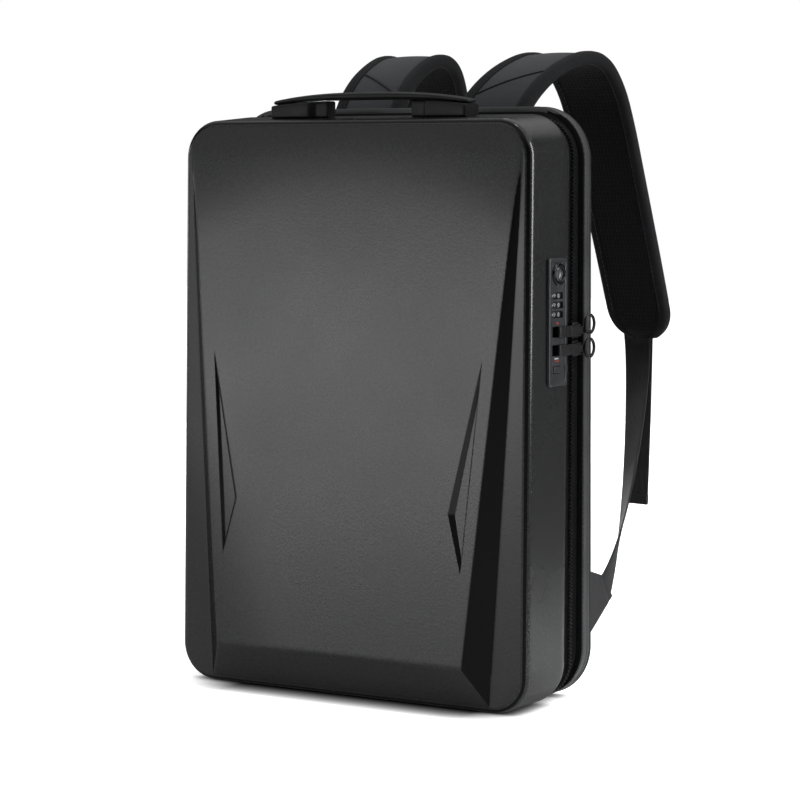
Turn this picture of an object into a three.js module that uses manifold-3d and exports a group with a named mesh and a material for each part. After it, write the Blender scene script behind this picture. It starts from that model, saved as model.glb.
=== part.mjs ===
// Hard-shell anti-theft laptop backpack, standing on its base.
// Millimetres. +Z is up, the moulded front faces -Y, the wearer's back is at +Y and the lock is on +X.
// The origin is on the base plane, under the shell, in the middle of the width.
import * as THREE from 'three';
import { mergeVertices } from 'three/addons/utils/BufferGeometryUtils.js';
import Module from 'manifold-3d';

const wasm = await Module();
wasm.setup();

// Driving dimensions

const GAP = 0.3;              // clearance between pieces that touch
const CORNER_STEPS = 6;       // facets in each quarter turn of an outline

const SHELL = {
  half: 165.5,                // half width at the front edge
  top: 463.5,                 // height of the front edge
  corner: 30,                 // corner radius of the front outline
  depth: 56.5,                // front border to mouth
  flare: 3,                   // how far each side opens out towards the mouth
  rise: 4.5,                  // how far the top rises towards the mouth
  cornerGrowth: 4,
  front: -44.7,               // Y of the front border at the top
  lean: 5.2,                  // how far the foot stands forward of the top
  edge: 5,                    // round along the front edge
  lip: 1.4,                   // chamfer at the mouth
  wall: 2.6,
};

const PANEL = {               // raised middle of the front
  top: 424.5,                 // height where it leaves the border
  foot: 35,                   // height of the lower crease
  toe: 5,                     // height where the lower bevel meets the border
  rise: 16.5,                 // how far it stands forward at the crease
  curve: 0.85,                // below 1, the upper part swells first
  innerTop: 155, innerFoot: 117.4,    // half widths of the crease beside the side facets
  outerTop: 158.5, outerToe: 133.5,   // half widths where the side facets meet the border
  steps: 8,
};

// Corners of a blade recess: half width, height, how far the floor draws in, how deep it lies
const BLADE = [
  { x: 128.5, z: 275.8, inset: 0.17, depth: 2.2 },
  { x: 101.7, z: 155.5, inset: 0.42, depth: 3.8 },
  { x: 114.1, z: 109.5, inset: 0.15, depth: 2.2 },
];

const RIM = {
  half: 168.8, bottom: 0, top: 474, corner: 43,
  front: 29.6,                // Y of its front face
  rearTop: 43, rearFoot: 49,      // Y of its rear face, deeper at the foot
  thick: 9,
};

const ZIP = { overlap: 5, tape: 1.6, sunk: 4.6, seat: 4, coilHalf: 3, coilHigh: 2, hingeHalf: 100 };

const BACK = { inset: 7.5, thick: 11 };

const HANDLE = {
  y: -14.5, half: 94, width: 24,
  crown: 486.2, crownDrop: 6.6,       // top of the grip in the middle, and its fall to the ends
  under: 479.7, underDrop: 3.6,       // underside of the grip in the middle, and its fall to the ends
  blockIn: 54, blockOut: 93, blockWide: 22,
  armIn: 40, armWide: 12,
};

const LOCK = {
  y: -10, z: 305.5, width: 27, height: 100, proud: 1.4,
  bodyWidth: 21, bodyHeight: 88, bodyDeep: 15,
  keyAt: 0.5, keyZ: 343, keyRing: 8.75, keyBore: 5.9, keyDeep: 9,
  dialZ: [326.2, 318.9, 311.5], dialR: 7, dialThick: 4.5, dialSunk: 5,
  slotZ: [297.9, 283.5], slotHigh: 8.4, slotFrom: -8, slotTo: 8.6, slotDeep: 7.5,
  buttonAt: -1.8, buttonZ: 268.5, buttonWide: 9.6, buttonHigh: 5.2, buttonDeep: 6,
};

const SLIDER = { long: 12.4, wide: 10, plate: 1.8, lug: 1.6, lugHigh: 4.2 };

const PULL = {
  x: 170.5, thick: 2.6, high: 8.8, rear: 28.5, front: -7.5, blockFrom: 4.5, blockTo: 16.5, blockThick: 3.6,
  tongueLong: 5, tongueHigh: 6.8, tongueDeep: 6.5, knuckle: 5.6, eye: 2.2,
};

const RING = { radius: 7.2, wire: 0.9, raise: [4.5, 0] };

// Shoulder pad seen from the side: distance along its inner face, and the slope of the path in degrees
const STRAP_SLOPE = [
  { s: 0, deg: 90.8 }, { s: 26, deg: 90 }, { s: 52, deg: 56 }, { s: 80, deg: 39 },
  { s: 110, deg: 25 }, { s: 138, deg: 16 }, { s: 164, deg: -4 }, { s: 190, deg: -48 },
  { s: 220, deg: -72 }, { s: 256, deg: -78 }, { s: 330, deg: -78 }, { s: 440, deg: -81 },
];
const STRAP = {
  z: 412, thick: 11, length: 422, halfTop: 33.5, halfEnd: 29.5, round: 3,
  x: 53, spread: 0.125,               // middle of the pad at its root, and how it runs outwards
  endRound: 26, steps: 26,
};

const WEB = { wide: 25, thick: 1.6, tailFoot: 130, tailDrift: 4, leave: 60, arrive: 34 };

const BUCKLE = {
  s: 404, shift: -8, wide: 40, long: 24, thick: 4.5, clear: 2.4,
  slotWide: 27.6, slotLong: 6, slotAt: 5.5,
};

// Bottom tab in the side view, from its seam to the end of the webbing
const TAB = { x: 165, thick: 3, seamLow: 50, seamHigh: 103, farHigh: [69, 97], farLow: [88, 77] };

const COLOUR = {
  shell: 0x2b2b2d, lock: 0x2e3338, dial: 0x15171a, steel: 0x6d7074, tape: 0x121214,
  coil: 0x2a2a2c, metal: 0x161618, rim: 0x38383a, mesh: 0x17171a, strap: 0x333438, web: 0x252628,
};

// Geometry helpers

const lerp = THREE.MathUtils.lerp;

/** A closed body from points and triangles, turned so that its faces point out. */
function body(points, triangles) {
  let volume = 0;
  for (const [a, b, c] of triangles) {
    const cross = new THREE.Vector3().crossVectors(points[b], points[c]);
    volume += points[a].dot(cross);
  }
  const turned = volume < 0 ? triangles.map(([a, b, c]) => [a, c, b]) : triangles;
  const geometry = new THREE.BufferGeometry().setFromPoints(points);
  geometry.setIndex(turned.flat());
  return geometry;
}

/** The triangles between neighbouring rings of equal length. A closed tube joins the last to the first. */
function skin(rings, closed) {
  const n = rings[0].length;
  const triangles = [];
  const spans = closed ? rings.length : rings.length - 1;
  for (let i = 0; i < spans; i += 1) {
    const next = (i + 1) % rings.length;
    for (let j = 0; j < n; j += 1) {
      const k = (j + 1) % n;
      triangles.push([i * n + j, i * n + k, next * n + k], [i * n + j, next * n + k, next * n + j]);
    }
  }
  return triangles;
}

/** A body lofted through convex rings, with a cap on the first and the last. */
function loft(rings) {
  const n = rings[0].length;
  const triangles = skin(rings, false);
  const last = (rings.length - 1) * n;
  for (let j = 1; j < n - 1; j += 1) {
    triangles.push([0, j + 1, j], [last, last + j, last + j + 1]);
  }
  return body(rings.flat(), triangles);
}

/** A ring-shaped body: each entry is one section, and the last meets the first. */
function hoop(sections) {
  return body(sections.flat(), skin(sections, true));
}

/** A solid for joining and cutting, from a closed geometry. */
function solid(geometry) {
  const plain = geometry.clone();
  plain.deleteAttribute('normal');
  plain.deleteAttribute('uv');
  const merged = mergeVertices(plain, 1e-4);
  const vertProperties = new Float32Array(merged.attributes.position.array);
  const triVerts = new Uint32Array(merged.index.array);
  return new wasm.Manifold(new wasm.Mesh({ numProp: 3, vertProperties, triVerts }));
}

/** The geometry of a solid. */
function shape(manifold) {
  const mesh = manifold.getMesh();
  const geometry = new THREE.BufferGeometry();
  geometry.setAttribute('position', new THREE.BufferAttribute(new Float32Array(mesh.vertProperties), 3));
  geometry.setIndex(new THREE.BufferAttribute(new Uint32Array(mesh.triVerts), 1));
  return geometry;
}

/** A box between two corners. */
function box([x0, y0, z0], [x1, y1, z1]) {
  return new THREE.BoxGeometry(x1 - x0, y1 - y0, z1 - z0)
    .translate((x0 + x1) / 2, (y0 + y1) / 2, (z0 + z1) / 2);
}

/** A cylinder along X between two planes. */
function roundX(radius, x0, x1, y, z, sides) {
  return new THREE.CylinderGeometry(radius, radius, x1 - x0, sides)
    .rotateZ(Math.PI / 2)
    .translate((x0 + x1) / 2, y, z);
}

/** Corners of a rounded rectangle in X and Z, anticlockwise from the right end of its base. */
function outline(half, bottom, top, corner) {
  const centres = [[half, bottom, -90], [half, top, 0], [-half, top, 90], [-half, bottom, 180]];
  const points = [];
  for (const [x, z, start] of centres) {
    const cx = x - Math.sign(x) * corner;
    const cz = z === top ? top - corner : bottom + corner;
    for (let i = 0; i <= CORNER_STEPS; i += 1) {
      const angle = THREE.MathUtils.degToRad(start + (90 * i) / CORNER_STEPS);
      points.push({ x: cx + corner * Math.cos(angle), z: cz + corner * Math.sin(angle) });
    }
  }
  return points;
}

// Front shell

/** How far the shell stands forward at a height, because its foot leans out. */
const lean = (z) => -SHELL.lean * (1 - z / SHELL.top);

/** Outline of the shell at a depth behind the border, drawn in by an inset. */
function shellOutline(depth, inset) {
  const t = depth / SHELL.depth;
  return outline(
    SHELL.half + SHELL.flare * t - inset,
    inset,
    SHELL.top + SHELL.rise * t - inset,
    SHELL.corner + SHELL.cornerGrowth * t - inset,
  );
}

function shellRing(depth, inset) {
  return shellOutline(depth, inset)
    .map(({ x, z }) => new THREE.Vector3(x, SHELL.front + depth + lean(z), z));
}

/** The outside of the tray: a rounded front edge, flared walls and a chamfered mouth. */
function shellOutside() {
  const rings = [0, 30, 60, 90].map((deg) => {
    const a = THREE.MathUtils.degToRad(deg);
    return shellRing(SHELL.edge * (1 - Math.cos(a)), SHELL.edge * (1 - Math.sin(a)));
  });
  rings.push(shellRing(SHELL.depth - SHELL.lip, 0), shellRing(SHELL.depth, SHELL.lip));
  return solid(loft(rings));
}

/** The inside of the tray, open past the mouth. */
function shellInside() {
  const { wall, depth } = SHELL;
  return solid(loft([shellRing(wall, wall + 2), shellRing(wall + 2, wall), shellRing(depth + 2, wall)]));
}

/** How far the raised panel stands in front of the border at a height. */
function panelRise(z) {
  const t = THREE.MathUtils.clamp((PANEL.top - z) / (PANEL.top - PANEL.foot), 0, 1);
  const bevel = THREE.MathUtils.clamp((z - PANEL.toe) / (PANEL.foot - PANEL.toe), 0, 1);
  return PANEL.rise * t ** PANEL.curve * bevel;
}

const panelOuter = (z) => lerp(PANEL.outerToe, PANEL.outerTop, (z - PANEL.toe) / (PANEL.top - PANEL.toe));

function panelInner(z) {
  if (z < PANEL.foot) {
    return lerp(panelOuter(PANEL.toe), PANEL.innerFoot, (z - PANEL.toe) / (PANEL.foot - PANEL.toe));
  }
  return lerp(PANEL.innerFoot, PANEL.innerTop, (z - PANEL.foot) / (PANEL.top - PANEL.foot));
}

/** The raised panel with its side facets and lower bevel, moved back and drawn in for the inside face. */
function panelSolid(back, draw, root) {
  const heights = [PANEL.toe];
  for (let i = 0; i <= PANEL.steps; i += 1) heights.push(lerp(PANEL.foot, PANEL.top, i / PANEL.steps));
  const sunk = 0.05;          // the facets meet the border just under its surface
  const rings = heights.map((z) => {
    const inner = panelInner(z) - draw;
    const outer = panelOuter(z) - draw;
    const face = Math.min(sunk, -panelRise(z)) + back;
    const section = [[-outer, root], [outer, root], [outer, sunk + back], [inner, face]];
    section.push([-inner, face], [-outer, sunk + back]);
    return section.map(([x, d]) => new THREE.Vector3(x, SHELL.front + d + lean(z), z));
  });
  return solid(loft(rings));
}

/** Centre of the circle inside a blade's triangle. */
function bladeMiddle() {
  const side = BLADE.map((_, i) => {
    const a = BLADE[(i + 1) % 3];
    const b = BLADE[(i + 2) % 3];
    return Math.hypot(a.x - b.x, a.z - b.z);
  });
  const total = side[0] + side[1] + side[2];
  const mean = (key) => BLADE.reduce((sum, corner, i) => sum + corner[key] * side[i], 0) / total;
  return { x: mean('x'), z: mean('z') };
}

/** Point on the panel face of one side, at a depth behind it. */
function onPanel(side, x, z, depth) {
  return new THREE.Vector3(side * x, SHELL.front - panelRise(z) + depth + lean(z), z);
}

/** The cut for one blade recess: sloped walls down to a tilted floor. */
function bladeCut(side) {
  const middle = bladeMiddle();
  const floor = BLADE.map((c) => {
    const x = lerp(c.x, middle.x, c.inset);
    const z = lerp(c.z, middle.z, c.inset);
    return onPanel(side, x, z, c.depth);
  });
  const mouth = BLADE.map((c, i) => onPanel(side, c.x, c.z, 0).lerp(floor[i], -0.5));
  return solid(loft([mouth, floor]));
}

/** The thickened wall behind one blade recess. */
function bladeBoss(side) {
  const middle = bladeMiddle();
  const spread = -0.25;
  const ring = (depth) => BLADE.map((c) => {
    const x = lerp(c.x, middle.x, spread);
    const z = lerp(c.z, middle.z, spread);
    return onPanel(side, x, z, depth);
  });
  return solid(loft([ring(0.5), ring(BLADE[1].depth + SHELL.wall - 0.4)]));
}

/** Outer X of the shell's side wall at a place on it. */
const wallX = (y, z) => SHELL.half + (SHELL.flare * (y - SHELL.front - lean(z))) / SHELL.depth;

const lockGroup = new THREE.Group();
lockGroup.position.set(wallX(LOCK.y, LOCK.z), LOCK.y, LOCK.z);
lockGroup.rotation.z = -Math.atan2(SHELL.flare, SHELL.depth);
lockGroup.updateMatrix();

function frontShell() {
  const { wall } = SHELL;
  let outside = shellOutside().add(panelSolid(0, 0, 2));
  let inside = shellInside().add(panelSolid(wall, 1, wall + 2.5));
  for (const side of [-1, 1]) {
    outside = outside.subtract(bladeCut(side));
    inside = inside.subtract(bladeBoss(side));
  }
  const w = LOCK.bodyWidth / 2 + GAP;
  const h = LOCK.bodyHeight / 2 + GAP;
  const cutOut = solid(box([-LOCK.bodyDeep, -w, -h], [4, w, h]).applyMatrix4(lockGroup.matrix));
  return shape(outside.subtract(inside).subtract(cutOut));
}

// Rear rim, zip and back panel

/** Y of the rim's rear face at a height. */
const rearY = (z) => lerp(RIM.rearFoot, RIM.rearTop, z / RIM.top);

function rimOutline(inset) {
  return outline(RIM.half - inset, RIM.bottom + inset, RIM.top - inset, RIM.corner - inset);
}

function backRim() {
  // Round outer face: how far it is drawn in, and how far along it is from front to rear
  const outside = [[2.6, 0], [0.7, 0.18], [0, 0.4], [0, 0.6], [0.7, 0.82], [2.6, 1]];
  const profile = [[RIM.thick, 0], ...outside, [RIM.thick, 1]];
  const lines = profile.map(([inset, along]) => rimOutline(inset)
    .map(({ x, z }) => new THREE.Vector3(x, lerp(RIM.front, rearY(z), along), z)));
  return hoop(lines[0].map((_, i) => lines.map((line) => line[i])));
}

/** Y of the shell's mouth and of the zip's teeth at a height. */
const mouthY = (z) => SHELL.front + SHELL.depth + lean(z);
const coilY = (z) => (mouthY(z) + RIM.front) / 2;

/** A tape: each station gives an outline and the Y of its points; the wall is drawn in from it. */
function tape(stations) {
  const line = ({ half, bottom, top, corner, y }, inset) => {
    const points = outline(half - inset, bottom + inset, top - inset, corner - inset);
    return points.map(({ x, z }) => new THREE.Vector3(x, y(z), z));
  };
  const lines = stations.map((s) => line(s, 0));
  lines.push(...[...stations].reverse().map((s) => line(s, ZIP.tape)));
  return hoop(lines[0].map((_, i) => lines.map((l) => l[i])));
}

/** A station of the tape: the shell's mouth outline drawn in, at a Y. */
function mouthStation(inset, y) {
  return {
    half: SHELL.half + SHELL.flare - inset,
    bottom: inset,
    top: SHELL.top + SHELL.rise - inset,
    corner: SHELL.corner + SHELL.cornerGrowth - inset,
    y,
  };
}

function zipTapeFront() {
  const hidden = SHELL.wall + GAP + (SHELL.flare * ZIP.overlap) / SHELL.depth;
  return tape([
    mouthStation(hidden, (z) => mouthY(z) - ZIP.overlap),
    mouthStation(hidden, (z) => mouthY(z)),
    mouthStation(ZIP.sunk, (z) => coilY(z) - SLIDER.wide / 2 - GAP),
    mouthStation(ZIP.sunk, (z) => coilY(z) - GAP / 2),
  ]);
}

function zipTapeRear() {
  const seat = ZIP.seat;
  const atRim = {
    half: RIM.half - seat, bottom: RIM.bottom + seat, top: RIM.top - seat, corner: RIM.corner - seat,
    y: () => RIM.front - GAP,
  };
  return tape([
    mouthStation(ZIP.sunk, (z) => coilY(z) + GAP / 2),
    mouthStation(ZIP.sunk, (z) => coilY(z) + SLIDER.wide / 2 + GAP),
    atRim,
  ]);
}

/** The closed teeth: up one side, over the top and down the other, ending at the cloth hinge below. */
function zipCoil() {
  const low = ZIP.sunk - GAP;
  const high = low - ZIP.coilHigh;
  const shoulder = lerp(low, high, 0.8);
  const profile = [[-1, low], [-0.75, shoulder], [0, high], [0.75, shoulder], [1, low]];
  const lines = profile.map(([across, inset]) => {
    const station = mouthStation(inset);
    const points = outline(station.half, station.bottom, station.top, station.corner);
    points.unshift({ x: ZIP.hingeHalf, z: station.bottom });
    points.push({ x: -ZIP.hingeHalf, z: station.bottom });
    return points.map(({ x, z }) => new THREE.Vector3(x, coilY(z) + across * ZIP.coilHalf, z));
  });
  return loft(lines[0].map((_, i) => lines.map((line) => line[i])));
}

function backPanel() {
  // Padded slab: how far the outline is drawn in, and how far behind the rim it lies
  const profile = [[1, 0], [0, 1.5], [0, 4], [3, 8], [9.5, 10.4], [22, BACK.thick]];
  return loft(profile.map(([inset, out]) => rimOutline(BACK.inset + inset)
    .map(({ x, z }) => new THREE.Vector3(x, rearY(z) + GAP + out, z))));
}

// Carry handle

/** Top of the shell along its depth. */
const shellTop = (y) => SHELL.top + (SHELL.rise * (y - SHELL.front)) / SHELL.depth;

const gripTop = (x) => HANDLE.crown - HANDLE.crownDrop * Math.abs(x / HANDLE.half) ** 2.6;
const gripUnder = (x) => HANDLE.under - HANDLE.underDrop * Math.abs(x / HANDLE.half) ** 4;

function handleGrip() {
  const rings = [];
  for (let i = 0; i <= 16; i += 1) {
    const x = lerp(-HANDLE.half, HANDLE.half, i / 16);
    const end = i === 0 || i === 16;
    const w = (HANDLE.width / 2) * (end ? 0.86 : 1);
    const low = gripUnder(x);
    const high = gripTop(x);
    const side = lerp(low, high, 0.3);
    const brow = lerp(low, high, 0.75);
    const section = [[-w, side], [-w + 2.5, low], [w - 2.5, low], [w, side]];
    section.push([w - 1.5, brow], [w - 5, high], [-w + 5, high], [-w + 1.5, brow]);
    rings.push(section.map(([y, z]) => new THREE.Vector3(x, HANDLE.y + y, z)));
  }
  return loft(rings);
}

/** One end block with the narrower arm towards the middle, seated between the shell and the grip. */
function handleMount(side) {
  const piece = (from, to, wide, steps, cut) => {
    const rings = [];
    for (let i = 0; i <= steps; i += 1) {
      const x = lerp(from, to, i / steps);
      const top = gripUnder(x) - GAP - cut;
      const w = (wide / 2) * (i === steps && to === HANDLE.blockOut ? 0.88 : 1);
      const foot = (y) => shellTop(HANDLE.y + y) + GAP;
      const section = [[-w, foot(-w)], [w, foot(w)], [w, top - 1.6], [w - 1.6, top]];
      section.push([-w + 1.6, top], [-w, top - 1.6]);
      rings.push(section.map(([y, z]) => new THREE.Vector3(side * x, HANDLE.y + y, z)));
    }
    return solid(loft(rings));
  };
  const block = piece(HANDLE.blockIn, HANDLE.blockOut, HANDLE.blockWide, 4, 0);
  const arm = piece(HANDLE.armIn, HANDLE.blockIn + 2, HANDLE.armWide, 1, 1.2);
  return shape(block.add(arm));
}

// Lock: local +X points out of the wall, local Y runs back along it, local Z is up from the plate's middle

const lockZ = (z) => z - LOCK.z;

/** A plate with chamfered edges, from one X plane to another. */
function bevelPlate(x0, x1, wide, high, chamfer) {
  const ring = (x, inset) => outline(wide / 2 - inset, -high / 2 + inset, high / 2 - inset, 2.5 - inset)
    .map((p) => new THREE.Vector3(x, p.x, p.z));
  return loft([ring(x0, 0), ring(x1 - chamfer, 0), ring(x1, chamfer)]);
}

function lockPlate() {
  const face = GAP + LOCK.proud;
  const w = LOCK.bodyWidth / 2;
  const h = LOCK.bodyHeight / 2;
  const z = lockZ(LOCK.keyZ);
  let plate = solid(bevelPlate(GAP, face, LOCK.width, LOCK.height, 0.8));
  plate = plate.add(solid(box([-LOCK.bodyDeep, -w, -h], [GAP + 0.5, w, h])));
  plate = plate.add(solid(roundX(LOCK.keyRing, GAP + 0.5, face + 0.9, LOCK.keyAt, z, 28)));
  plate = plate.subtract(solid(roundX(LOCK.keyBore, face - LOCK.keyDeep, face + 2, LOCK.keyAt, z, 24)));
  const dialHigh = LOCK.dialThick / 2 + GAP;
  const room = LOCK.dialR + GAP + 0.1;
  for (const dialZ of LOCK.dialZ) {
    const at = lockZ(dialZ);
    const back = -LOCK.dialSunk - room;
    plate = plate.subtract(solid(box([back, -room, at - dialHigh], [face + 1, room, at + dialHigh])));
  }
  for (const slotZ of LOCK.slotZ) {
    const at = lockZ(slotZ);
    const half = LOCK.slotHigh / 2;
    const slot = box([face - LOCK.slotDeep, LOCK.slotFrom, at - half], [face + 1, LOCK.slotTo, at + half]);
    plate = plate.subtract(solid(slot));
  }
  const bw = LOCK.buttonWide / 2 + GAP;
  const bh = LOCK.buttonHigh / 2 + GAP;
  const at = lockZ(LOCK.buttonZ);
  const low = [face - LOCK.buttonDeep - 2, LOCK.buttonAt - bw, at - bh];
  const pocket = box(low, [face + 1, LOCK.buttonAt + bw, at + bh]);
  const catchBlock = box([GAP + 0.5, 9.6, at - 2.6], [face + 0.8, 13, at + 3.4]);
  return shape(plate.subtract(solid(pocket)).add(solid(catchBlock)));
}

/** A number wheel on an upright axle, with ten flats and a finger groove at each corner between them. */
function lockDial() {
  const flats = 10;
  const rim = [];
  for (let i = 0; i < flats; i += 1) {
    const angle = (i * 2 * Math.PI) / flats;
    const corner = Math.PI / flats;
    rim.push([LOCK.dialR, angle - 0.6 * corner], [LOCK.dialR, angle + 0.6 * corner]);
    rim.push([LOCK.dialR - 0.7, angle + corner]);
  }
  const ring = (z, scale) => rim
    .map(([r, a]) => new THREE.Vector3(scale * r * Math.cos(a), scale * r * Math.sin(a), z));
  const half = LOCK.dialThick / 2;
  return loft([ring(-half, 0.93), ring(-half + 0.6, 1), ring(half - 0.6, 1), ring(half, 0.93)]);
}

/** The round key plug with its keyway, turning about the local X axis. */
function lockCylinder() {
  const face = GAP + LOCK.proud + 0.4;
  const plug = solid(roundX(LOCK.keyBore - GAP, face - LOCK.keyDeep, face, 0, 0, 20));
  const keyway = box([face - 5, -0.7, -3.2], [face + 1, 0.7, 3.2]);
  return shape(plug.subtract(solid(keyway)));
}

function lockButton() {
  const face = GAP + LOCK.proud + 0.8;
  const w = LOCK.buttonWide / 2;
  const h = LOCK.buttonHigh / 2;
  const ring = (x, inset) => outline(w - inset, -h + inset, h - inset, 1 - inset)
    .map((p) => new THREE.Vector3(x, p.x, p.z));
  return loft([ring(face - LOCK.buttonDeep, 0), ring(face - 0.5, 0), ring(face, 0.5)]);
}

// Zip sliders and the pulls that the lock holds

/** X of the top of the zip's teeth on the side of the bag. */
const teethX = SHELL.half + SHELL.flare - ZIP.sunk + GAP + ZIP.coilHigh;

/** A slider straddling the teeth, with two lugs that hold the pull's knuckle. */
function zipSlider(z) {
  const y = coilY(z);
  const low = teethX + GAP;
  const top = low + SLIDER.plate;
  const l = SLIDER.long / 2;
  const w = SLIDER.wide / 2;
  const skirt = teethX - ZIP.coilHigh;
  let slider = solid(box([skirt, y - w, z - l], [top, y + w, z + l]));
  const t = ZIP.coilHalf + GAP;
  const tunnel = box([skirt - 1, y - t, z - l - 1], [low, y + t, z + l + 1]);
  slider = slider.subtract(solid(tunnel));
  for (const side of [-1, 1]) {
    const inner = z + side * (PULL.knuckle / 2 + GAP);
    const z0 = Math.min(inner, inner + side * SLIDER.lug);
    const lug = box([top - 0.4, y - 2.4, z0], [top + SLIDER.lugHigh, y + 2.4, z0 + SLIDER.lug]);
    slider = slider.add(solid(lug));
  }
  return shape(slider);
}

/** A flat pull: knuckle between the slider's lugs, thick block, and a tongue turned into the lock's slot. */
function zipPull(z) {
  const { x, thick } = PULL;
  const y = coilY(z);
  const h = PULL.high / 2;
  const k = PULL.knuckle / 2;
  const t = PULL.tongueHigh / 2;
  const face = lockGroup.position.x + GAP + LOCK.proud;
  let pull = solid(box([x, PULL.front, z - h], [x + thick, PULL.blockTo, z + h]));
  pull = pull.add(solid(box([x, PULL.blockFrom, z - h], [x + PULL.blockThick, PULL.blockTo, z + h])));
  pull = pull.add(solid(box([x, PULL.blockTo - 1, z - k], [x + thick, PULL.rear, z + k])));
  const tongueEnd = [x + 1, PULL.front + PULL.tongueLong, z + t];
  pull = pull.add(solid(box([face - PULL.tongueDeep, PULL.front, z - t], tongueEnd)));
  const eyeX = x + thick / 2 - PULL.eye / 2 + 1;
  const eye = box([eyeX, y + 4, z - k - 1], [x + thick + 1, y + 4 + PULL.eye, z + k + 1]);
  return shape(pull.subtract(solid(eye)));
}

/** The wire ring hung through the eye at the pull's rear end. */
function pullRing(z, raise) {
  const centre = new THREE.Vector3(PULL.x + PULL.thick + 1.1, coilY(z) + 5.1 + RING.radius, z + raise);
  return new THREE.TorusGeometry(RING.radius, RING.wire, 6, 16)
    .rotateY(Math.PI / 2)
    .translate(centre.x, centre.y, centre.z);
}

// Shoulder straps

/** Slope of the pad's path at a distance along it, in radians. */
function strapSlope(s) {
  const i = Math.max(1, STRAP_SLOPE.findIndex((k) => k.s >= s));
  const a = STRAP_SLOPE[i - 1];
  const b = STRAP_SLOPE[i];
  return THREE.MathUtils.degToRad(lerp(a.deg, b.deg, (s - a.s) / (b.s - a.s)));
}

/** Point on the middle of the pad's inner face, and the directions along it and out of its outer face. */
function strapFrame(s) {
  const rootY = rearY(STRAP.z) + BACK.thick + 2 * GAP + STRAP.thick;
  const at = new THREE.Vector3(STRAP.x + STRAP.spread * s, rootY, STRAP.z);
  const step = 1;
  for (let walked = 0; walked < s; walked += step) {
    const part = Math.min(step, s - walked);
    const mid = strapSlope(walked + part / 2);
    at.y += Math.cos(mid) * part;
    at.z += Math.sin(mid) * part;
  }
  const slope = strapSlope(s);
  const along = new THREE.Vector3(0, Math.cos(slope), Math.sin(slope));
  const out = new THREE.Vector3(0, -Math.sin(slope), Math.cos(slope));
  return { at, along, out };
}

/** Half width of the pad, which narrows slowly and ends in a round. */
function strapHalf(s) {
  const half = lerp(STRAP.halfTop, STRAP.halfEnd, s / STRAP.length);
  const past = Math.max(0, s - (STRAP.length - STRAP.endRound)) / STRAP.endRound;
  return half * Math.sqrt(1 - 0.8 * past ** 2);
}

const mirrored = (side, v) => new THREE.Vector3(side * v.x, v.y, v.z);

function strapPad(side) {
  const stops = [];
  const straight = STRAP.length - STRAP.endRound;
  for (let i = 0; i < STRAP.steps; i += 1) stops.push((straight * i) / (STRAP.steps - 1));
  stops.push(STRAP.length - 12, STRAP.length - 4, STRAP.length);
  const rings = stops.map((s) => {
    const { at, out } = strapFrame(s);
    const w = strapHalf(s);
    const t = STRAP.thick;
    const r = STRAP.round;
    const section = [[-w, r], [-w + r, 0], [w - r, 0], [w, r]];
    section.push([w, t - r], [w - r, t], [-w + r, t], [-w, t - r]);
    return section.map(([x, n]) => {
      const point = at.clone().addScaledVector(out, n);
      point.x += x;
      return mirrored(side, point);
    });
  });
  return loft(rings);
}

/** A point on the strap buckle: along the pad from its middle, and out from the pad's outer face. */
function bucklePoint(along, out) {
  const frame = strapFrame(BUCKLE.s);
  return frame.at.clone()
    .addScaledVector(frame.along, along)
    .addScaledVector(frame.out, STRAP.thick + out)
    .add(new THREE.Vector3(BUCKLE.shift, 0, 0));
}

/** The ladder buckle: a frame with two slots on either side of a middle bar. */
function strapAdjuster(side) {
  const block = (a0, a1, wide, n0, n1) => {
    const ring = (a) => [[-1, n0], [1, n0], [1, n1], [-1, n1]]
      .map(([x, n]) => mirrored(side, bucklePoint(a, n).add(new THREE.Vector3((x * wide) / 2, 0, 0))));
    return solid(loft([ring(a0), ring(a1)]));
  };
  const n0 = BUCKLE.clear;
  const n1 = n0 + BUCKLE.thick;
  let frame = block(-BUCKLE.long / 2, BUCKLE.long / 2, BUCKLE.wide, n0, n1);
  for (const a of [-BUCKLE.slotAt, BUCKLE.slotAt]) {
    const half = BUCKLE.slotLong / 2;
    frame = frame.subtract(block(a - half, a + half, BUCKLE.slotWide, n0 - 1, n1 + 1));
  }
  return shape(frame);
}

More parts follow.
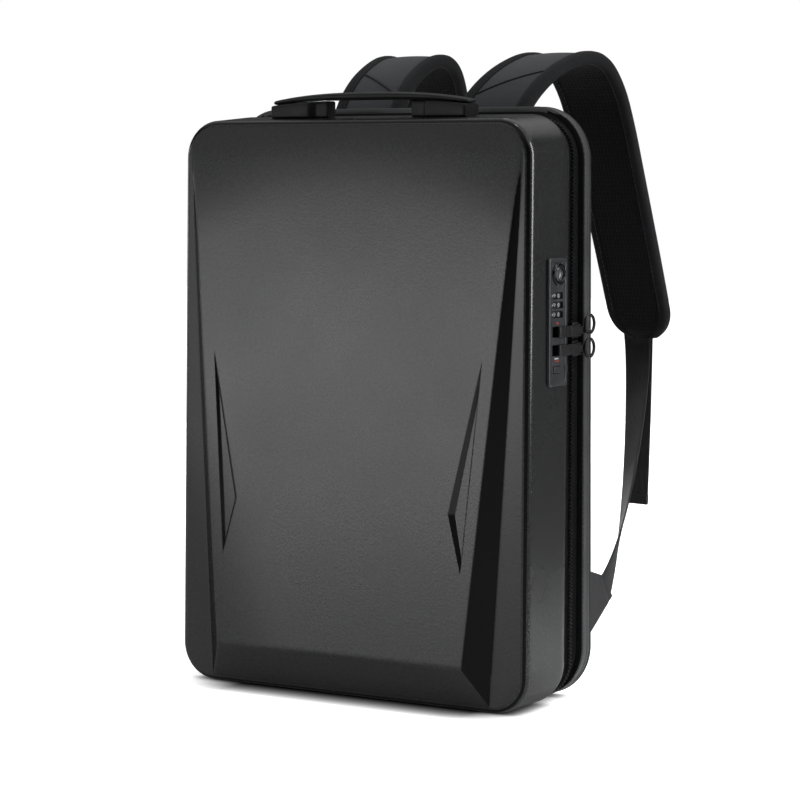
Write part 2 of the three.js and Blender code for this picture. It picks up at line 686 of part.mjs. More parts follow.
/** The webbing's middle line: from the tab up behind the pad, round the buckle's bar, then the tail. */
function webbingPath() {
  const [hy, hz] = TAB.farHigh;
  const [ly, lz] = TAB.farLow;
  const across = new THREE.Vector3(0, ly - hy, lz - hz).normalize();
  const away = new THREE.Vector3(0, -across.z, across.y);
  const root = new THREE.Vector3(TAB.x, (hy + ly) / 2, (hz + lz) / 2).addScaledVector(away, 2 * GAP);
  const inner = GAP + WEB.thick / 2;
  const outer = BUCKLE.clear + BUCKLE.thick + GAP + 0.1 + WEB.thick / 2;
  const padEnd = bucklePoint(STRAP.length - BUCKLE.s + 6, inner);
  const up = strapFrame(BUCKLE.s).along.clone().negate();
  const run = new THREE.CubicBezierCurve3(
    root,
    root.clone().addScaledVector(away, WEB.leave),
    padEnd.clone().addScaledVector(up, -WEB.arrive),
    padEnd,
  );
  const left = new THREE.Vector3(-1, 0, 0);
  const points = run.getPoints(16).map((at, i) => {
    const turn = (Math.PI / 2) * Math.min(1, (i / 16) ** 0.8);
    const width = across.clone().multiplyScalar(Math.cos(turn)).addScaledVector(left, Math.sin(turn));
    return { at, width };
  });
  const flat = (along, out) => points.push({ at: bucklePoint(along, out), width: left });
  const bend = (outer - inner) / 2;
  flat(2, inner);
  for (let i = 0; i <= 6; i += 1) {
    const angle = (Math.PI * i) / 6;
    flat(-2.2 - bend * Math.sin(angle), inner + bend - bend * Math.cos(angle));
  }
  flat(BUCKLE.long / 2 + 2, outer);
  const tail = bucklePoint(BUCKLE.long / 2 + 2, outer);
  for (const t of [0.35, 0.7, 1]) {
    const at = tail.clone();
    at.z = lerp(tail.z, WEB.tailFoot, t);
    at.x -= WEB.tailDrift * t;
    at.y += 4 * t * (1 - t);
    points.push({ at, width: left });
  }
  return points;
}

function strapWebbing(side) {
  const path = webbingPath();
  const rings = path.map(({ at, width }, i) => {
    const before = path[Math.max(0, i - 1)].at;
    const after = path[Math.min(path.length - 1, i + 1)].at;
    const along = after.clone().sub(before).normalize();
    const across = width.clone().addScaledVector(along, -along.dot(width)).normalize();
    const face = new THREE.Vector3().crossVectors(along, across);
    const corner = (w, n) => mirrored(
      side,
      at.clone().addScaledVector(across, (w * WEB.wide) / 2).addScaledVector(face, (n * WEB.thick) / 2),
    );
    return [corner(-1, -1), corner(1, -1), corner(1, 1), corner(-1, 1)];
  });
  return loft(rings);
}

/** The folded tab sewn behind the rim, which the webbing comes out of. */
function strapTab(side) {
  const edge = [
    [rearY(TAB.seamLow) + GAP, TAB.seamLow],
    TAB.farLow,
    TAB.farHigh,
    [rearY(TAB.seamHigh) + GAP, TAB.seamHigh],
  ];
  const ring = (x) => edge.map(([y, z]) => new THREE.Vector3(side * x, y, z));
  return loft([ring(TAB.x - TAB.thick / 2), ring(TAB.x + TAB.thick / 2)]);
}

// The assembly

const backpack = new THREE.Group();

function add(parent, name, geometry, colour, roughness, metalness = 0) {
  const material = new THREE.MeshStandardMaterial({ color: colour, roughness, metalness });
  const mesh = new THREE.Mesh(geometry, material);
  mesh.name = name;
  parent.add(mesh);
  return mesh;
}

add(backpack, 'front_shell', frontShell(), COLOUR.shell, 0.5);
add(backpack, 'zip_tape_front', zipTapeFront(), COLOUR.tape, 0.9);
add(backpack, 'zip_tape_rear', zipTapeRear(), COLOUR.tape, 0.9);
add(backpack, 'zip_coil', zipCoil(), COLOUR.coil, 0.5);
add(backpack, 'back_rim', backRim(), COLOUR.rim, 0.7);
add(backpack, 'back_panel', backPanel(), COLOUR.mesh, 0.95);
add(backpack, 'handle_grip', handleGrip(), COLOUR.shell, 0.45);

backpack.add(lockGroup);
add(lockGroup, 'lock_plate', lockPlate(), COLOUR.lock, 0.45);
LOCK.dialZ.forEach((z, i) => {
  const dial = add(lockGroup, `lock_dial_${i + 1}`, lockDial(), COLOUR.dial, 0.4);
  dial.position.set(-LOCK.dialSunk, 0, lockZ(z));
});
const cylinder = add(lockGroup, 'lock_cylinder', lockCylinder(), COLOUR.steel, 0.35, 0.9);
cylinder.position.set(0, LOCK.keyAt, lockZ(LOCK.keyZ));
const button = add(lockGroup, 'lock_button', lockButton(), COLOUR.lock, 0.5);
button.position.set(0, LOCK.buttonAt, lockZ(LOCK.buttonZ));

['upper', 'lower'].forEach((place, i) => {
  const z = LOCK.slotZ[i];
  add(backpack, `zip_slider_${place}`, zipSlider(z), COLOUR.metal, 0.4, 0.8);
  add(backpack, `zip_pull_${place}`, zipPull(z), COLOUR.metal, 0.45, 0.6);
  add(backpack, `pull_ring_${place}`, pullRing(z, RING.raise[i]), COLOUR.metal, 0.35, 0.8);
});

for (const [place, side] of [['left', -1], ['right', 1]]) {
  add(backpack, `handle_mount_${place}`, handleMount(side), COLOUR.shell, 0.5);
  add(backpack, `strap_${place}`, strapPad(side), COLOUR.strap, 0.9);
  add(backpack, `strap_adjuster_${place}`, strapAdjuster(side), COLOUR.metal, 0.5);
  add(backpack, `strap_webbing_${place}`, strapWebbing(side), COLOUR.web, 0.85);
  add(backpack, `strap_tab_${place}`, strapTab(side), COLOUR.web, 0.9);
}

export default backpack;
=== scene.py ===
import math
from types import SimpleNamespace as Sizes

import bpy
import numpy as np
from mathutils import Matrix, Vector


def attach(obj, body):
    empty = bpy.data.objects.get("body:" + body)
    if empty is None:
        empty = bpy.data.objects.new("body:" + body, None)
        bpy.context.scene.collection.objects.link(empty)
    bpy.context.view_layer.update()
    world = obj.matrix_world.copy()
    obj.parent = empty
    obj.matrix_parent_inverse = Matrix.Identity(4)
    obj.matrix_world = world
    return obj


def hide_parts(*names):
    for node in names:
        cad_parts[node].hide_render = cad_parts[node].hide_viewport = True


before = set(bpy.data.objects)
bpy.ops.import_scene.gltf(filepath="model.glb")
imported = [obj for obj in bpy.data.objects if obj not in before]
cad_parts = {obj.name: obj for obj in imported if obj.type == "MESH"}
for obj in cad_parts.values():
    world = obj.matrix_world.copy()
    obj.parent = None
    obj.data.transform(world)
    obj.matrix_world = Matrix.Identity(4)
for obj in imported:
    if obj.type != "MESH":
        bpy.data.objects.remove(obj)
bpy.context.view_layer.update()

bl_info = {
    "name": "Hard-shell backpack",
    "version": (1, 0, 0),
    "blender": (4, 5, 0),
    "location": "View3D > Sidebar > Backpack",
    "description": "Finishes a hard-shell laptop backpack round its packed frame",
    "category": "Object",
}

MM = 0.001
CASE = "case"
GAP = 0.3
SIDES = ((-1, "left"), (1, "right"))

# Sizes in millimetres: those that the frame was packed from, and those of details that only the scene has

SHELL = Sizes(half=165.5, top=463.5, corner=30.0, depth=56.5, flare=3.0, rise=4.5, growth=4.0,
              front=-44.7, lean=5.2, edge=5.2, wall=2.6, front_out=1.5, front_in=1.0, toe_out=2.5, toe_wide=1.8)
PANEL = Sizes(top=440.0, dull=426.5, foot=35.0, toe=5.0, rise=16.5, curve=0.85, inner_top=156.5, inner_foot=117.4,
              outer_top=159.4, outer_toe=133.5)
BLADE = np.array([[128.5, 275.8, 2.2], [101.7, 155.5, 3.8], [114.1, 109.5, 2.2]])
RIM = Sizes(half=168.8, bottom=0.0, top=474.0, corner=43.0, front=29.6, rear_top=43.0, rear_foot=49.0, thick=9.0)
ZIP = Sizes(overlap=5.0, tape=1.6, sunk=4.6, seat=4.0, hinge_half=100.0, flat=5.3)
BACK = Sizes(inset=7.5, thick=11.0, shoulder=7.0, start=6.6, swell=4.0)
HANDLE = Sizes(y=-14.5, half=94.0, width=24.0, crown=486.2, crown_drop=6.6, under=479.7, under_drop=3.6,
               block_in=54.0, block_out=93.0, block_wide=22.0, arm_in=40.0, arm_wide=12.0)
LOCK = Sizes(place=(167.4366, -10.0, 305.5), turn=-math.atan2(3.0, 56.5), face=1.7, dial_z=(326.2, 318.9, 311.5),
             dial_r=7.0, dial_sunk=5.0, body_half=10.5, body_high=44.0, plate_half=13.5, plate_high=50.0, key_at=0.5,
             key_z=343.0)
PULL = Sizes(x=171.8, thick=2.6, high=8.6, tip=-13.5, front=-7.4)
RING = Sizes(radius=7.2, wire=1.2, x=174.2, eye=5.1, slot_z=(297.9, 283.5), lift=(4.5, 0.0))
STRAP_SLOPE = np.array([[0, 90.8], [26, 90], [52, 56], [80, 39], [110, 25], [138, 16], [164, -4], [190, -48],
                        [220, -72], [256, -78], [330, -78], [440, -81]])
STRAP = Sizes(z=412.0, thick=11.0, length=422.0, half_top=34.5, half_end=29.5, x=53.0, spread=0.125, end_round=26.0)
PAD = Sizes(binding=11.0, mesh=8.2, face=9.5, under=1.2, crown=1.0, middle=5.2, pucker=0.16, pucker_pitch=8.4)
# The slanting seam of the straps: a near-black rod, painted shade for the seam's valley.
SEAM = Sizes(inner=74.0, outer=104.0, half=1.2, high=0.7)
WEB = Sizes(sewn=3.0, wide=25.0, thick=1.6, hem=9.0, tail_foot=130.0, drift=4.0, leave=60.0, arrive=34.0)
BUCKLE = Sizes(s=404.0, shift=-8.0, long=24.0, thick=4.5, clear=2.4)
TAB = Sizes(x=165.0, thick=3.0, seam_low=50.0, seam_high=103.0, far_high=(69.0, 97.0), far_low=(88.0, 77.0))


class BackpackSizes(bpy.types.PropertyGroup):
    """Sizes of the surface detail that a user may change."""

    grain: bpy.props.FloatProperty(
        name="Shell grain", description="Width of one pebble of the shell's grain", default=0.0016, unit="LENGTH")
    grain_depth: bpy.props.FloatProperty(
        name="Grain depth", description="Height of the shell's grain", default=0.00007, unit="LENGTH")
    weave: bpy.props.FloatProperty(
        name="Cloth weave", description="Width of one thread of the strap cloth", default=0.0009, unit="LENGTH")
    mesh_cell: bpy.props.FloatProperty(
        name="Mesh cell", description="Width of one hole of the air mesh", default=0.0034, unit="LENGTH")
    rib: bpy.props.FloatProperty(
        name="Webbing rib", description="Distance between the ribs of the webbing", default=0.0017, unit="LENGTH")
    stitch: bpy.props.FloatProperty(
        name="Stitch pitch", description="Distance from one stitch to the next", default=0.0042, unit="LENGTH")
    tooth: bpy.props.FloatProperty(
        name="Tooth pitch", description="Distance from one zip tooth to the next", default=0.0015, unit="LENGTH")
    figure: bpy.props.FloatProperty(
        name="Dial figure", description="Height of the figures on the dials", default=0.0031, unit="LENGTH")


class BackpackColours(bpy.types.PropertyGroup):
    """Colours of the finishes."""

    shell: bpy.props.FloatVectorProperty(
        name="Shell", description="Moulded shell", subtype="COLOR", default=(0.016, 0.0165, 0.0175))
    # Painted shade: a near-black copy of the shell's colour for its facets, its flat border, its bottom bevel and
    # strips of its front edge.
    facet: bpy.props.FloatVectorProperty(
        name="Facet", description="Polished facets of the shell", subtype="COLOR", default=(0.0025, 0.0025, 0.003))
    grip: bpy.props.FloatVectorProperty(
        name="Handle", description="Carry handle and its blocks", subtype="COLOR", default=(0.009, 0.009, 0.0095))
    lock: bpy.props.FloatVectorProperty(
        name="Lock", description="Lock plate and button", subtype="COLOR", default=(0.026, 0.029, 0.033))
    dial: bpy.props.FloatVectorProperty(
        name="Dials", description="Number wheels", subtype="COLOR", default=(0.008, 0.008, 0.009))
    steel: bpy.props.FloatVectorProperty(
        name="Steel", description="Key plug", subtype="COLOR", default=(0.30, 0.30, 0.31))
    zip_metal: bpy.props.FloatVectorProperty(
        name="Zip metal", description="Sliders, pulls and rings", subtype="COLOR", default=(0.010, 0.010, 0.011))
    collar: bpy.props.FloatVectorProperty(
        name="Collar", description="Ring of the keyhole", subtype="COLOR", default=(0.030, 0.031, 0.034))
    cloth: bpy.props.FloatVectorProperty(
        name="Strap cloth", description="Outer cloth of the straps", subtype="COLOR", default=(0.032, 0.034, 0.038))
    binding: bpy.props.FloatVectorProperty(
        name="Binding", description="Rolled edges of the straps", subtype="COLOR", default=(0.017, 0.0175, 0.019))
    mesh: bpy.props.FloatVectorProperty(
        name="Air mesh", description="Mesh of the back and the straps", subtype="COLOR",
        default=(0.0045, 0.0045, 0.005))
    rim: bpy.props.FloatVectorProperty(
        name="Rim", description="Coated cloth of the rim", subtype="COLOR", default=(0.052, 0.053, 0.055))
    webbing: bpy.props.FloatVectorProperty(
        name="Webbing", description="Adjusting webbing and tabs", subtype="COLOR", default=(0.029, 0.029, 0.031))
    # Also painted as shade: the near-black band at the front of the rim's sides and the near-black rod in the straps'
    # slanting seam.
    tape: bpy.props.FloatVectorProperty(
        name="Zip tape", description="Woven tape of the zip", subtype="COLOR", default=(0.004, 0.004, 0.0045))
    teeth: bpy.props.FloatVectorProperty(
        name="Zip teeth", description="Moulded teeth of the zip", subtype="COLOR", default=(0.006, 0.006, 0.0065))
    thread: bpy.props.FloatVectorProperty(
        name="Thread", description="Sewing thread", subtype="COLOR", default=(0.045, 0.047, 0.052))
    paint: bpy.props.FloatVectorProperty(
        name="Figures", description="Paint of the figures", subtype="COLOR", default=(0.75, 0.75, 0.74))
    signal: bpy.props.FloatVectorProperty(
        name="Signal", description="Paint of the signal marks", subtype="COLOR", default=(0.42, 0.03, 0.025))
    floor: bpy.props.FloatVectorProperty(
        name="Floor", description="Pale studio floor", subtype="COLOR", default=(0.93, 0.93, 0.93))


class BackpackStage(bpy.types.PropertyGroup):
    """Camera and lights."""

    lens: bpy.props.FloatProperty(
        name="Lens", description="Focal length in millimetres", default=126.0, unit="CAMERA")
    place: bpy.props.FloatVectorProperty(
        name="Camera", description="Place of the camera", subtype="XYZ", unit="LENGTH",
        default=(1.2395, -1.9124, 0.4274))
    aim: bpy.props.FloatVectorProperty(
        name="Aim", description="Point that the camera looks at", subtype="XYZ", unit="LENGTH",
        default=(0.0133, 0.005, 0.2366))
    sky: bpy.props.FloatProperty(name="Sky", description="Strength of the light from all round", default=0.05)
    top: bpy.props.FloatProperty(name="Overhead", description="Strength of the soft overhead light", default=1.8)
    glow: bpy.props.FloatProperty(name="Floor glow", description="Light of the floor's own", default=0.82)
    # Painted reflection: the floor's colour that the bag mirrors is this share of its paleness, and dimmer towards
    # the back on the right.
    floor_gloss: bpy.props.FloatProperty(
        name="Floor in gloss", description="Share of the floor's paleness that the bag mirrors", default=0.85)
    front: bpy.props.FloatProperty(name="Front box", description="Front left softbox", default=24.5, unit="POWER")
    pool: bpy.props.FloatProperty(
        name="Floor pool", description="Light on the floor behind on the right", default=1.0, unit="POWER")
    strip: bpy.props.FloatProperty(name="Strip", description="Strip light on the right", default=17.0, unit="POWER")
    rear: bpy.props.FloatProperty(name="Rear fill", description="Low softbox behind", default=6.0, unit="POWER")
    left: bpy.props.FloatProperty(
        name="Left fill", description="Each of the two dim softboxes on the left", default=3.0, unit="POWER")


# Numbers

def lerp(a, b, t):
    """Straight blend from a to b."""
    return a + (b - a) * t


def ease(x, low, high):
    """0 below low, 1 above high, and a smooth S between."""
    t = np.clip((x - low) / (high - low), 0, 1)
    return t * t * (3 - 2 * t)


def soft_min(a, b, k):
    """The smaller of two heights, with their crease rounded over a width k."""
    h = np.clip(0.5 + 0.5 * (b - a) / k, 0, 1)
    return b + (a - b) * h - k * h * (1 - h)


def soft_max(a, b, k):
    """The larger of two heights, with their crease rounded over a width k."""
    return -soft_min(-a, -b, k)


def unit(v):
    """Vectors brought to length one."""
    return v / np.linalg.norm(v, axis=-1, keepdims=True)


def walk(path):
    """Length walked along a line of points to each of them."""
    return np.concatenate([[0], np.cumsum(np.linalg.norm(np.diff(path, axis=0), axis=1))])


def read_along(s, walked, values):
    """Vectors kept at the points of a line, read at the lengths s along it."""
    return np.stack([np.interp(s, walked, values[:, n]) for n in range(3)], -1)


def closed(line):
    """A line of points brought back to its first point."""
    return np.vstack([line, line[:1]])


def superellipse(count, power):
    """Points on a rounded square of half width one: cosine and sine raised to 2 / power, signs kept."""
    a = np.linspace(0, 2 * np.pi, count, endpoint=False)
    c, s = np.cos(a), np.sin(a)
    return np.sign(c) * np.abs(c) ** (2 / power), np.sign(s) * np.abs(s) ** (2 / power)


# Meshes

def grid_quads(rows, cols, wrap_rows=False, wrap_cols=False):
    """Corner numbers of a grid's quads; a wrapped direction joins its last line to its first."""
    i, j = np.meshgrid(np.arange(rows if wrap_rows else rows - 1), np.arange(cols if wrap_cols else cols - 1),
                       indexing="ij")
    k, l = (i + 1) % rows, (j + 1) % cols
    return np.stack([i * cols + j, i * cols + l, k * cols + l, k * cols + j], -1).reshape(-1, 4)


def grid_uvs(points, wrap_rows, wrap_cols):
    """UVs at each quad's corners: mean length along the columns and the rows, in metres."""
    p = np.concatenate([points, points[:1]], 0) if wrap_rows else points
    p = np.concatenate([p, p[:, :1]], 1) if wrap_cols else p
    u = np.concatenate([[0], np.cumsum(np.linalg.norm(np.diff(p, axis=1), axis=2).mean(0))]) * MM
    v = np.concatenate([[0], np.cumsum(np.linalg.norm(np.diff(p, axis=0), axis=2).mean(1))]) * MM
    i, j = np.meshgrid(np.arange(len(v) - 1), np.arange(len(u) - 1), indexing="ij")
    corners = [np.stack([u[j + b], v[i + a]], -1) for a, b in ((0, 0), (0, 1), (1, 1), (1, 0))]
    return np.stack(corners, 2).reshape(-1, 4, 2)


def volume(points, quads, caps):
    """Six times the signed volume inside the faces, from the triangles of each face with the origin."""
    fans = [np.stack([np.full(len(c) - 2, c[0]), c[1:-1], c[2:]], -1) for c in caps]
    triangles = np.concatenate([quads[:, [0, 1, 2]], quads[:, [0, 2, 3]]] + fans)
    middle = points.mean(0)
    a, b, c = (points[triangles[:, n]] - middle for n in range(3))
    return np.einsum("ij,ij->", a, np.cross(b, c))


class Skin:
    """Faces gathered for one mesh: points in millimetres, quads with UVs, flat caps and a finish for each face."""

    def __init__(self):
        self.points, self.quads, self.uvs, self.finish, self.caps = [], [], [], [], []
        self.count = 0

    def put(self, points, quads, uvs=None, finish=0, caps=()):
        """Adds a closed shape, turning its faces over if they point inwards."""
        points = np.asarray(points, float).reshape(-1, 3)
        uvs = np.zeros((len(quads), 4, 2)) if uvs is None else uvs
        if volume(points, quads, caps) < 0:
            quads, uvs, caps = quads[:, ::-1], uvs[:, ::-1], [c[::-1] for c in caps]
        self.points.append(points)
        self.quads.append(quads + self.count)
        self.uvs.append(uvs)
        self.finish.append(np.broadcast_to(finish, (len(quads),)))
        self.caps += [c + self.count for c in caps]
        self.count += len(points)
        return self

    def grid(self, points, wrap_rows=False, wrap_cols=True, ends=True, finish=0):
        """Adds a surface given on a grid of points, its two ends closed by flat caps."""
        rows, cols = points.shape[:2]
        caps = [np.arange(cols)[::-1], (rows - 1) * cols + np.arange(cols)] if ends else []
        shape = (rows if wrap_rows else rows - 1, cols if wrap_cols else cols - 1)
        return self.put(points, grid_quads(rows, cols, wrap_rows, wrap_cols), grid_uvs(points, wrap_rows, wrap_cols),
                        np.broadcast_to(finish, shape).ravel(), caps)

    def hoop(self, lines, finish=0):
        """Adds a closed band: each line runs all the way round, and the lines follow the band's own section."""
        return self.grid(np.stack(lines), True, True, False, np.asarray(finish).reshape(-1, 1))

    def stubs(self, middle, axis, out, long, wide, high, finish=0):
        """Adds many short six-sided rods, thinner at both ends: one at each middle, lying along its axis."""
        axis = unit(axis)
        out = unit(out - axis * np.sum(out * axis, -1, keepdims=True))
        side = np.cross(axis, out)
        along = np.array([-0.5, -0.36, 0.36, 0.5])[None, :, None, None] * long
        girth = np.array([0.45, 1, 1, 0.45])[None, :, None, None]
        angle = np.radians(np.arange(6) * 60)[None, None, :, None]
        rod = middle[:, None, None] + along * axis[:, None, None]
        rod = rod + girth * (np.cos(angle) * side[:, None, None] * wide + np.sin(angle) * out[:, None, None] * high)
        ends = np.array([[3, 2, 1, 0], [5, 4, 3, 0], [18, 19, 20, 21], [18, 21, 22, 23]])
        faces = np.concatenate([grid_quads(4, 6, False, True), ends])
        quads = (faces[None] + 24 * np.arange(len(middle))[:, None, None]).reshape(-1, 4)
        return self.put(rod, quads, None, finish)

    def stitches(self, path, out, pitch, finish=0, wide=0.42, sink=0.1):
        """Adds stitches evenly along a line of points, each about three quarters of the pitch long."""
        walked = walk(path)
        count = max(1, int(walked[-1] / pitch))
        at = (np.arange(count) + 0.5) * walked[-1] / count
        axis = read_along(at + 0.4, walked, path) - read_along(at - 0.4, walked, path)
        out = read_along(at, walked, np.broadcast_to(out, path.shape))
        middle = read_along(at, walked, path) - unit(out) * sink
        return self.stubs(middle, axis, out, 0.74 * pitch, wide, wide, finish)


def link(name, mesh, body):
    """Puts a finished mesh in the scene as a piece that rides on a body."""
    obj = bpy.data.objects.new(name, mesh)
    bpy.context.scene.collection.objects.link(obj)
    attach(obj, body)
    return obj


def piece(name, skin, finishes, body=CASE, replaces=(), sharp=38.0, values=None):
    """A mesh object from a skin, with smooth shading broken at sharp edges."""
    mesh = bpy.data.meshes.new(name)
    quads = np.concatenate(skin.quads)
    mesh.from_pydata(np.concatenate(skin.points) * MM, [], quads.tolist() + [c.tolist() for c in skin.caps])
    corners = np.concatenate([np.concatenate(skin.uvs).reshape(-1, 2)] + [np.zeros((len(c), 2)) for c in skin.caps])
    mesh.uv_layers.new(name="UVMap").data.foreach_set("uv", corners.astype(np.float32).ravel())
    marks = np.concatenate(skin.finish + [np.zeros(len(skin.caps), int)])
    mesh.polygons.foreach_set("material_index", marks.astype(np.int32))
    for title, numbers in (values or {}).items():
        mesh.attributes.new(title, "FLOAT", "POINT").data.foreach_set("value", numbers.astype(np.float32).ravel())
    for finish in finishes:
        mesh.materials.append(finish)
    mesh.shade_smooth()
    mesh.set_sharp_from_angle(angle=math.radians(sharp))
    if mesh.validate():
        raise RuntimeError(f"{name}: the mesh had faulty faces")
    obj = link(name, mesh, body)
    if replaces:
        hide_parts(*replaces)
    return obj


def soften(node, finish, width, segments=2):
    """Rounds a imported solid's edges with live modifiers and gives it its finish; its own mesh stays as it is."""
    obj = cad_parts[node]
    obj.data.materials.clear()
    obj.data.materials.append(finish)
    weld = obj.modifiers.new("join_corners", "WELD")
    weld.merge_threshold = 0.00001
    flat = obj.modifiers.new("flat_faces", "DECIMATE")
    flat.decimate_type = "DISSOLVE"
    flat.angle_limit = math.radians(1)
    bevel = obj.modifiers.new("round_edges", "BEVEL")
    bevel.width = width * MM
    bevel.segments = segments
    bevel.limit_method = "ANGLE"
    bevel.angle_limit = math.radians(28)
    bevel.use_clamp_overlap = True
    bevel.harden_normals = False
    return obj


def swell(obj, held, reach, pressure, frames=20):
    """Lets a closed skin swell as cloth under inner pressure.

    Held points stay fixed, and each move is kept within reach."""
    scene = bpy.context.scene
    rest = np.empty(len(obj.data.vertices) * 3, np.float32)
    obj.data.vertices.foreach_get("co", rest)
    rest = rest.reshape(-1, 3)
    group = obj.vertex_groups.new(name="held")
    group.add(np.flatnonzero(held).tolist(), 1.0, "REPLACE")
    cloth = obj.modifiers.new("swell", "CLOTH")
    cloth.settings.quality = 6
    cloth.settings.mass = 0.3
    cloth.settings.tension_stiffness = 12
    cloth.settings.compression_stiffness = 12
    cloth.settings.shear_stiffness = 6
    cloth.settings.bending_stiffness = 1.5
    cloth.settings.use_pressure = True
    cloth.settings.uniform_pressure_force = pressure
    cloth.settings.effector_weights.gravity = 0
    cloth.settings.vertex_group_mass = "held"
    cloth.collision_settings.use_collision = False
    cloth.point_cache.frame_start = 1
    cloth.point_cache.frame_end = frames
    for number in range(1, frames + 1):
        scene.frame_set(number)
    swollen = obj.evaluated_get(bpy.context.evaluated_depsgraph_get()).data
    moved = np.empty(rest.size, np.float32)
    swollen.vertices.foreach_get("co", moved)
    move = moved.reshape(-1, 3) - rest
    length = np.maximum(np.linalg.norm(move, axis=1, keepdims=True), 1e-9)
    move *= np.minimum(1, reach * MM / length)
    obj.modifiers.remove(cloth)
    obj.vertex_groups.remove(group)
    scene.frame_set(1)
    obj.data.vertices.foreach_set("co", (rest + move).ravel())
    obj.data.update()


# Materials

class Finish:
    """A material on a principled shader, with short calls for the nodes that its patterns use."""

    def __init__(self, name, colour, roughness, specular=0.5, **sockets):
        self.material = bpy.data.materials.new(name)
        self.material.use_nodes = True
        self.tree = self.material.node_tree
        self.shader = next(n for n in self.tree.nodes if n.type == "BSDF_PRINCIPLED")
        self.colour = tuple(colour)
        self.fill(self.shader, {"Base Color": (*colour, 1), "Roughness": roughness, "Specular IOR Level": specular,
                                **sockets})

    def fill(self, node, inputs):
        """Sets a node's inputs from plain values or links them to outputs."""
        for key, value in inputs.items():
            if isinstance(value, bpy.types.NodeSocket):
                self.tree.links.new(value, node.inputs[key])
            else:
                node.inputs[key].default_value = value
        return node

    def node(self, kind, inputs, **settings):
        """A new node with its settings and inputs."""
        node = self.tree.nodes.new("ShaderNode" + kind)
        for key, value in settings.items():
            setattr(node, key, value)
        return self.fill(node, inputs)

    def where(self, kind="Object"):
        """Object coordinates, in metres, or the UV map, in metres along the cloth."""
        return self.node("TexCoord", {}).outputs[kind]

    def attribute(self, title):
        """A number kept at each point of the mesh."""
        return self.node("Attribute", {}, attribute_name=title).outputs["Fac"]

    def noise(self, where, size, detail=3.0):
        """Cloudy noise whose blotches are about size metres wide."""
        return self.node("TexNoise", {"Vector": where, "Scale": 1 / size, "Detail": detail}).outputs["Fac"]

    def cells(self, where, size, feature="F1"):
        """Distance from the middles of irregular cells of about that size in metres."""
        node = self.node("TexVoronoi", {"Vector": where, "Scale": 1 / size}, feature=feature)
        return node.outputs["Distance"]

    def bands(self, where, period, direction):
        """Sine bands of that period in metres."""
        return self.node("TexWave", {"Vector": where, "Scale": math.pi / (10 * period)}, bands_direction=direction,
                         wave_type="BANDS", wave_profile="SIN").outputs["Fac"]

    def sum(self, operation, a, b):
        """One arithmetic step."""
        return self.node("Math", {0: a, 1: b}, operation=operation).outputs[0]

    def span(self, value, low, high, first, last):
        """Carries a value from one range to another."""
        return self.node("MapRange", {"Value": value, "From Min": low, "From Max": high, "To Min": first,
                                      "To Max": last}).outputs[0]

    def mix(self, factor, a, b):
        """Blend of two colours, plain or linked."""
        a, b = ((*c, 1) if isinstance(c, tuple) and len(c) == 3 else c for c in (a, b))
        return self.node("Mix", {0: factor, 6: a, 7: b}, data_type="RGBA").outputs[2]

    def tint(self, share):
        """The material's own colour made lighter or darker."""
        return tuple(c * share for c in self.colour)

    def paint(self, colour):
        """Links the base colour."""
        self.fill(self.shader, {"Base Color": colour})

    def rough(self, value):
        """Links the roughness."""
        self.fill(self.shader, {"Roughness": value})

    def relief(self, height, depth, strength=1.0):
        """Bump of a height map, its depth in metres, on top of any bump there already is."""
        before = self.shader.inputs["Normal"]
        inputs = {"Height": height, "Distance": depth, "Strength": strength}
        if before.is_linked:
            inputs["Normal"] = before.links[0].from_socket
        self.fill(self.shader, {"Normal": self.node("Bump", inputs).outputs[0]})


def colours():
    """The colours set in the scene."""
    return bpy.context.scene.backpack_colours


def sizes():
    """The sizes of surface detail set in the scene."""
    return bpy.context.scene.backpack_sizes


def shell_finish():
    """Pebble-grained black plastic: lumpy cells with darker and paler specks, rubbed smoother along the edges, and
    painted shade: darker on the facets, the flat border and the bottom bevel.
    """
    f = Finish("shell_grain", colours().shell, 0.5)
    where, facet = f.where(), f.attribute("facet")
    cloud = f.noise(where, 0.11, 4)
    speck = f.noise(where, sizes().grain, 2)
    tone = f.mix(f.span(speck, 0.36, 0.64, 0, 1), f.tint(0.6), f.tint(1.5))
    # Painted shade: the colour goes towards the near-black facet colour on the facets, the flat border and the bottom
    # bevel.
    f.paint(f.mix(facet, tone, tuple(colours().facet)))
    rough = f.sum("SUBTRACT", f.span(cloud, 0.3, 0.7, 0.26, 0.30), f.sum("MULTIPLY", f.attribute("edge"), 0.1))
    f.rough(f.sum("ADD", rough, f.sum("MULTIPLY", f.attribute("matte"), 0.3)))
    lump = f.cells(where, sizes().grain, "SMOOTH_F1")
    height = f.sum("ADD", lump, f.sum("MULTIPLY", speck, 0.7))
    f.relief(f.sum("MULTIPLY", height, f.span(f.attribute("edge"), 0, 1, 1, 0.05)), sizes().grain_depth, 0.6)
    return f.material


def facet_finish():
    """A darker, duller copy of the shell plastic, slightly smoother: painted shade on the side facets and on strips
    of the front edge, with a faint flow in its gloss.
    """
    f = Finish("shell_facet", colours().facet, 0.25, 0.16)
    flow = f.noise(f.where(), 0.03, 4)
    f.paint(f.mix(flow, f.tint(0.6), f.tint(1.4)))
    f.rough(f.span(flow, 0.3, 0.7, 0.22, 0.28))
    f.relief(f.noise(f.where(), sizes().grain, 2), sizes().grain_depth, 0.15)
    return f.material


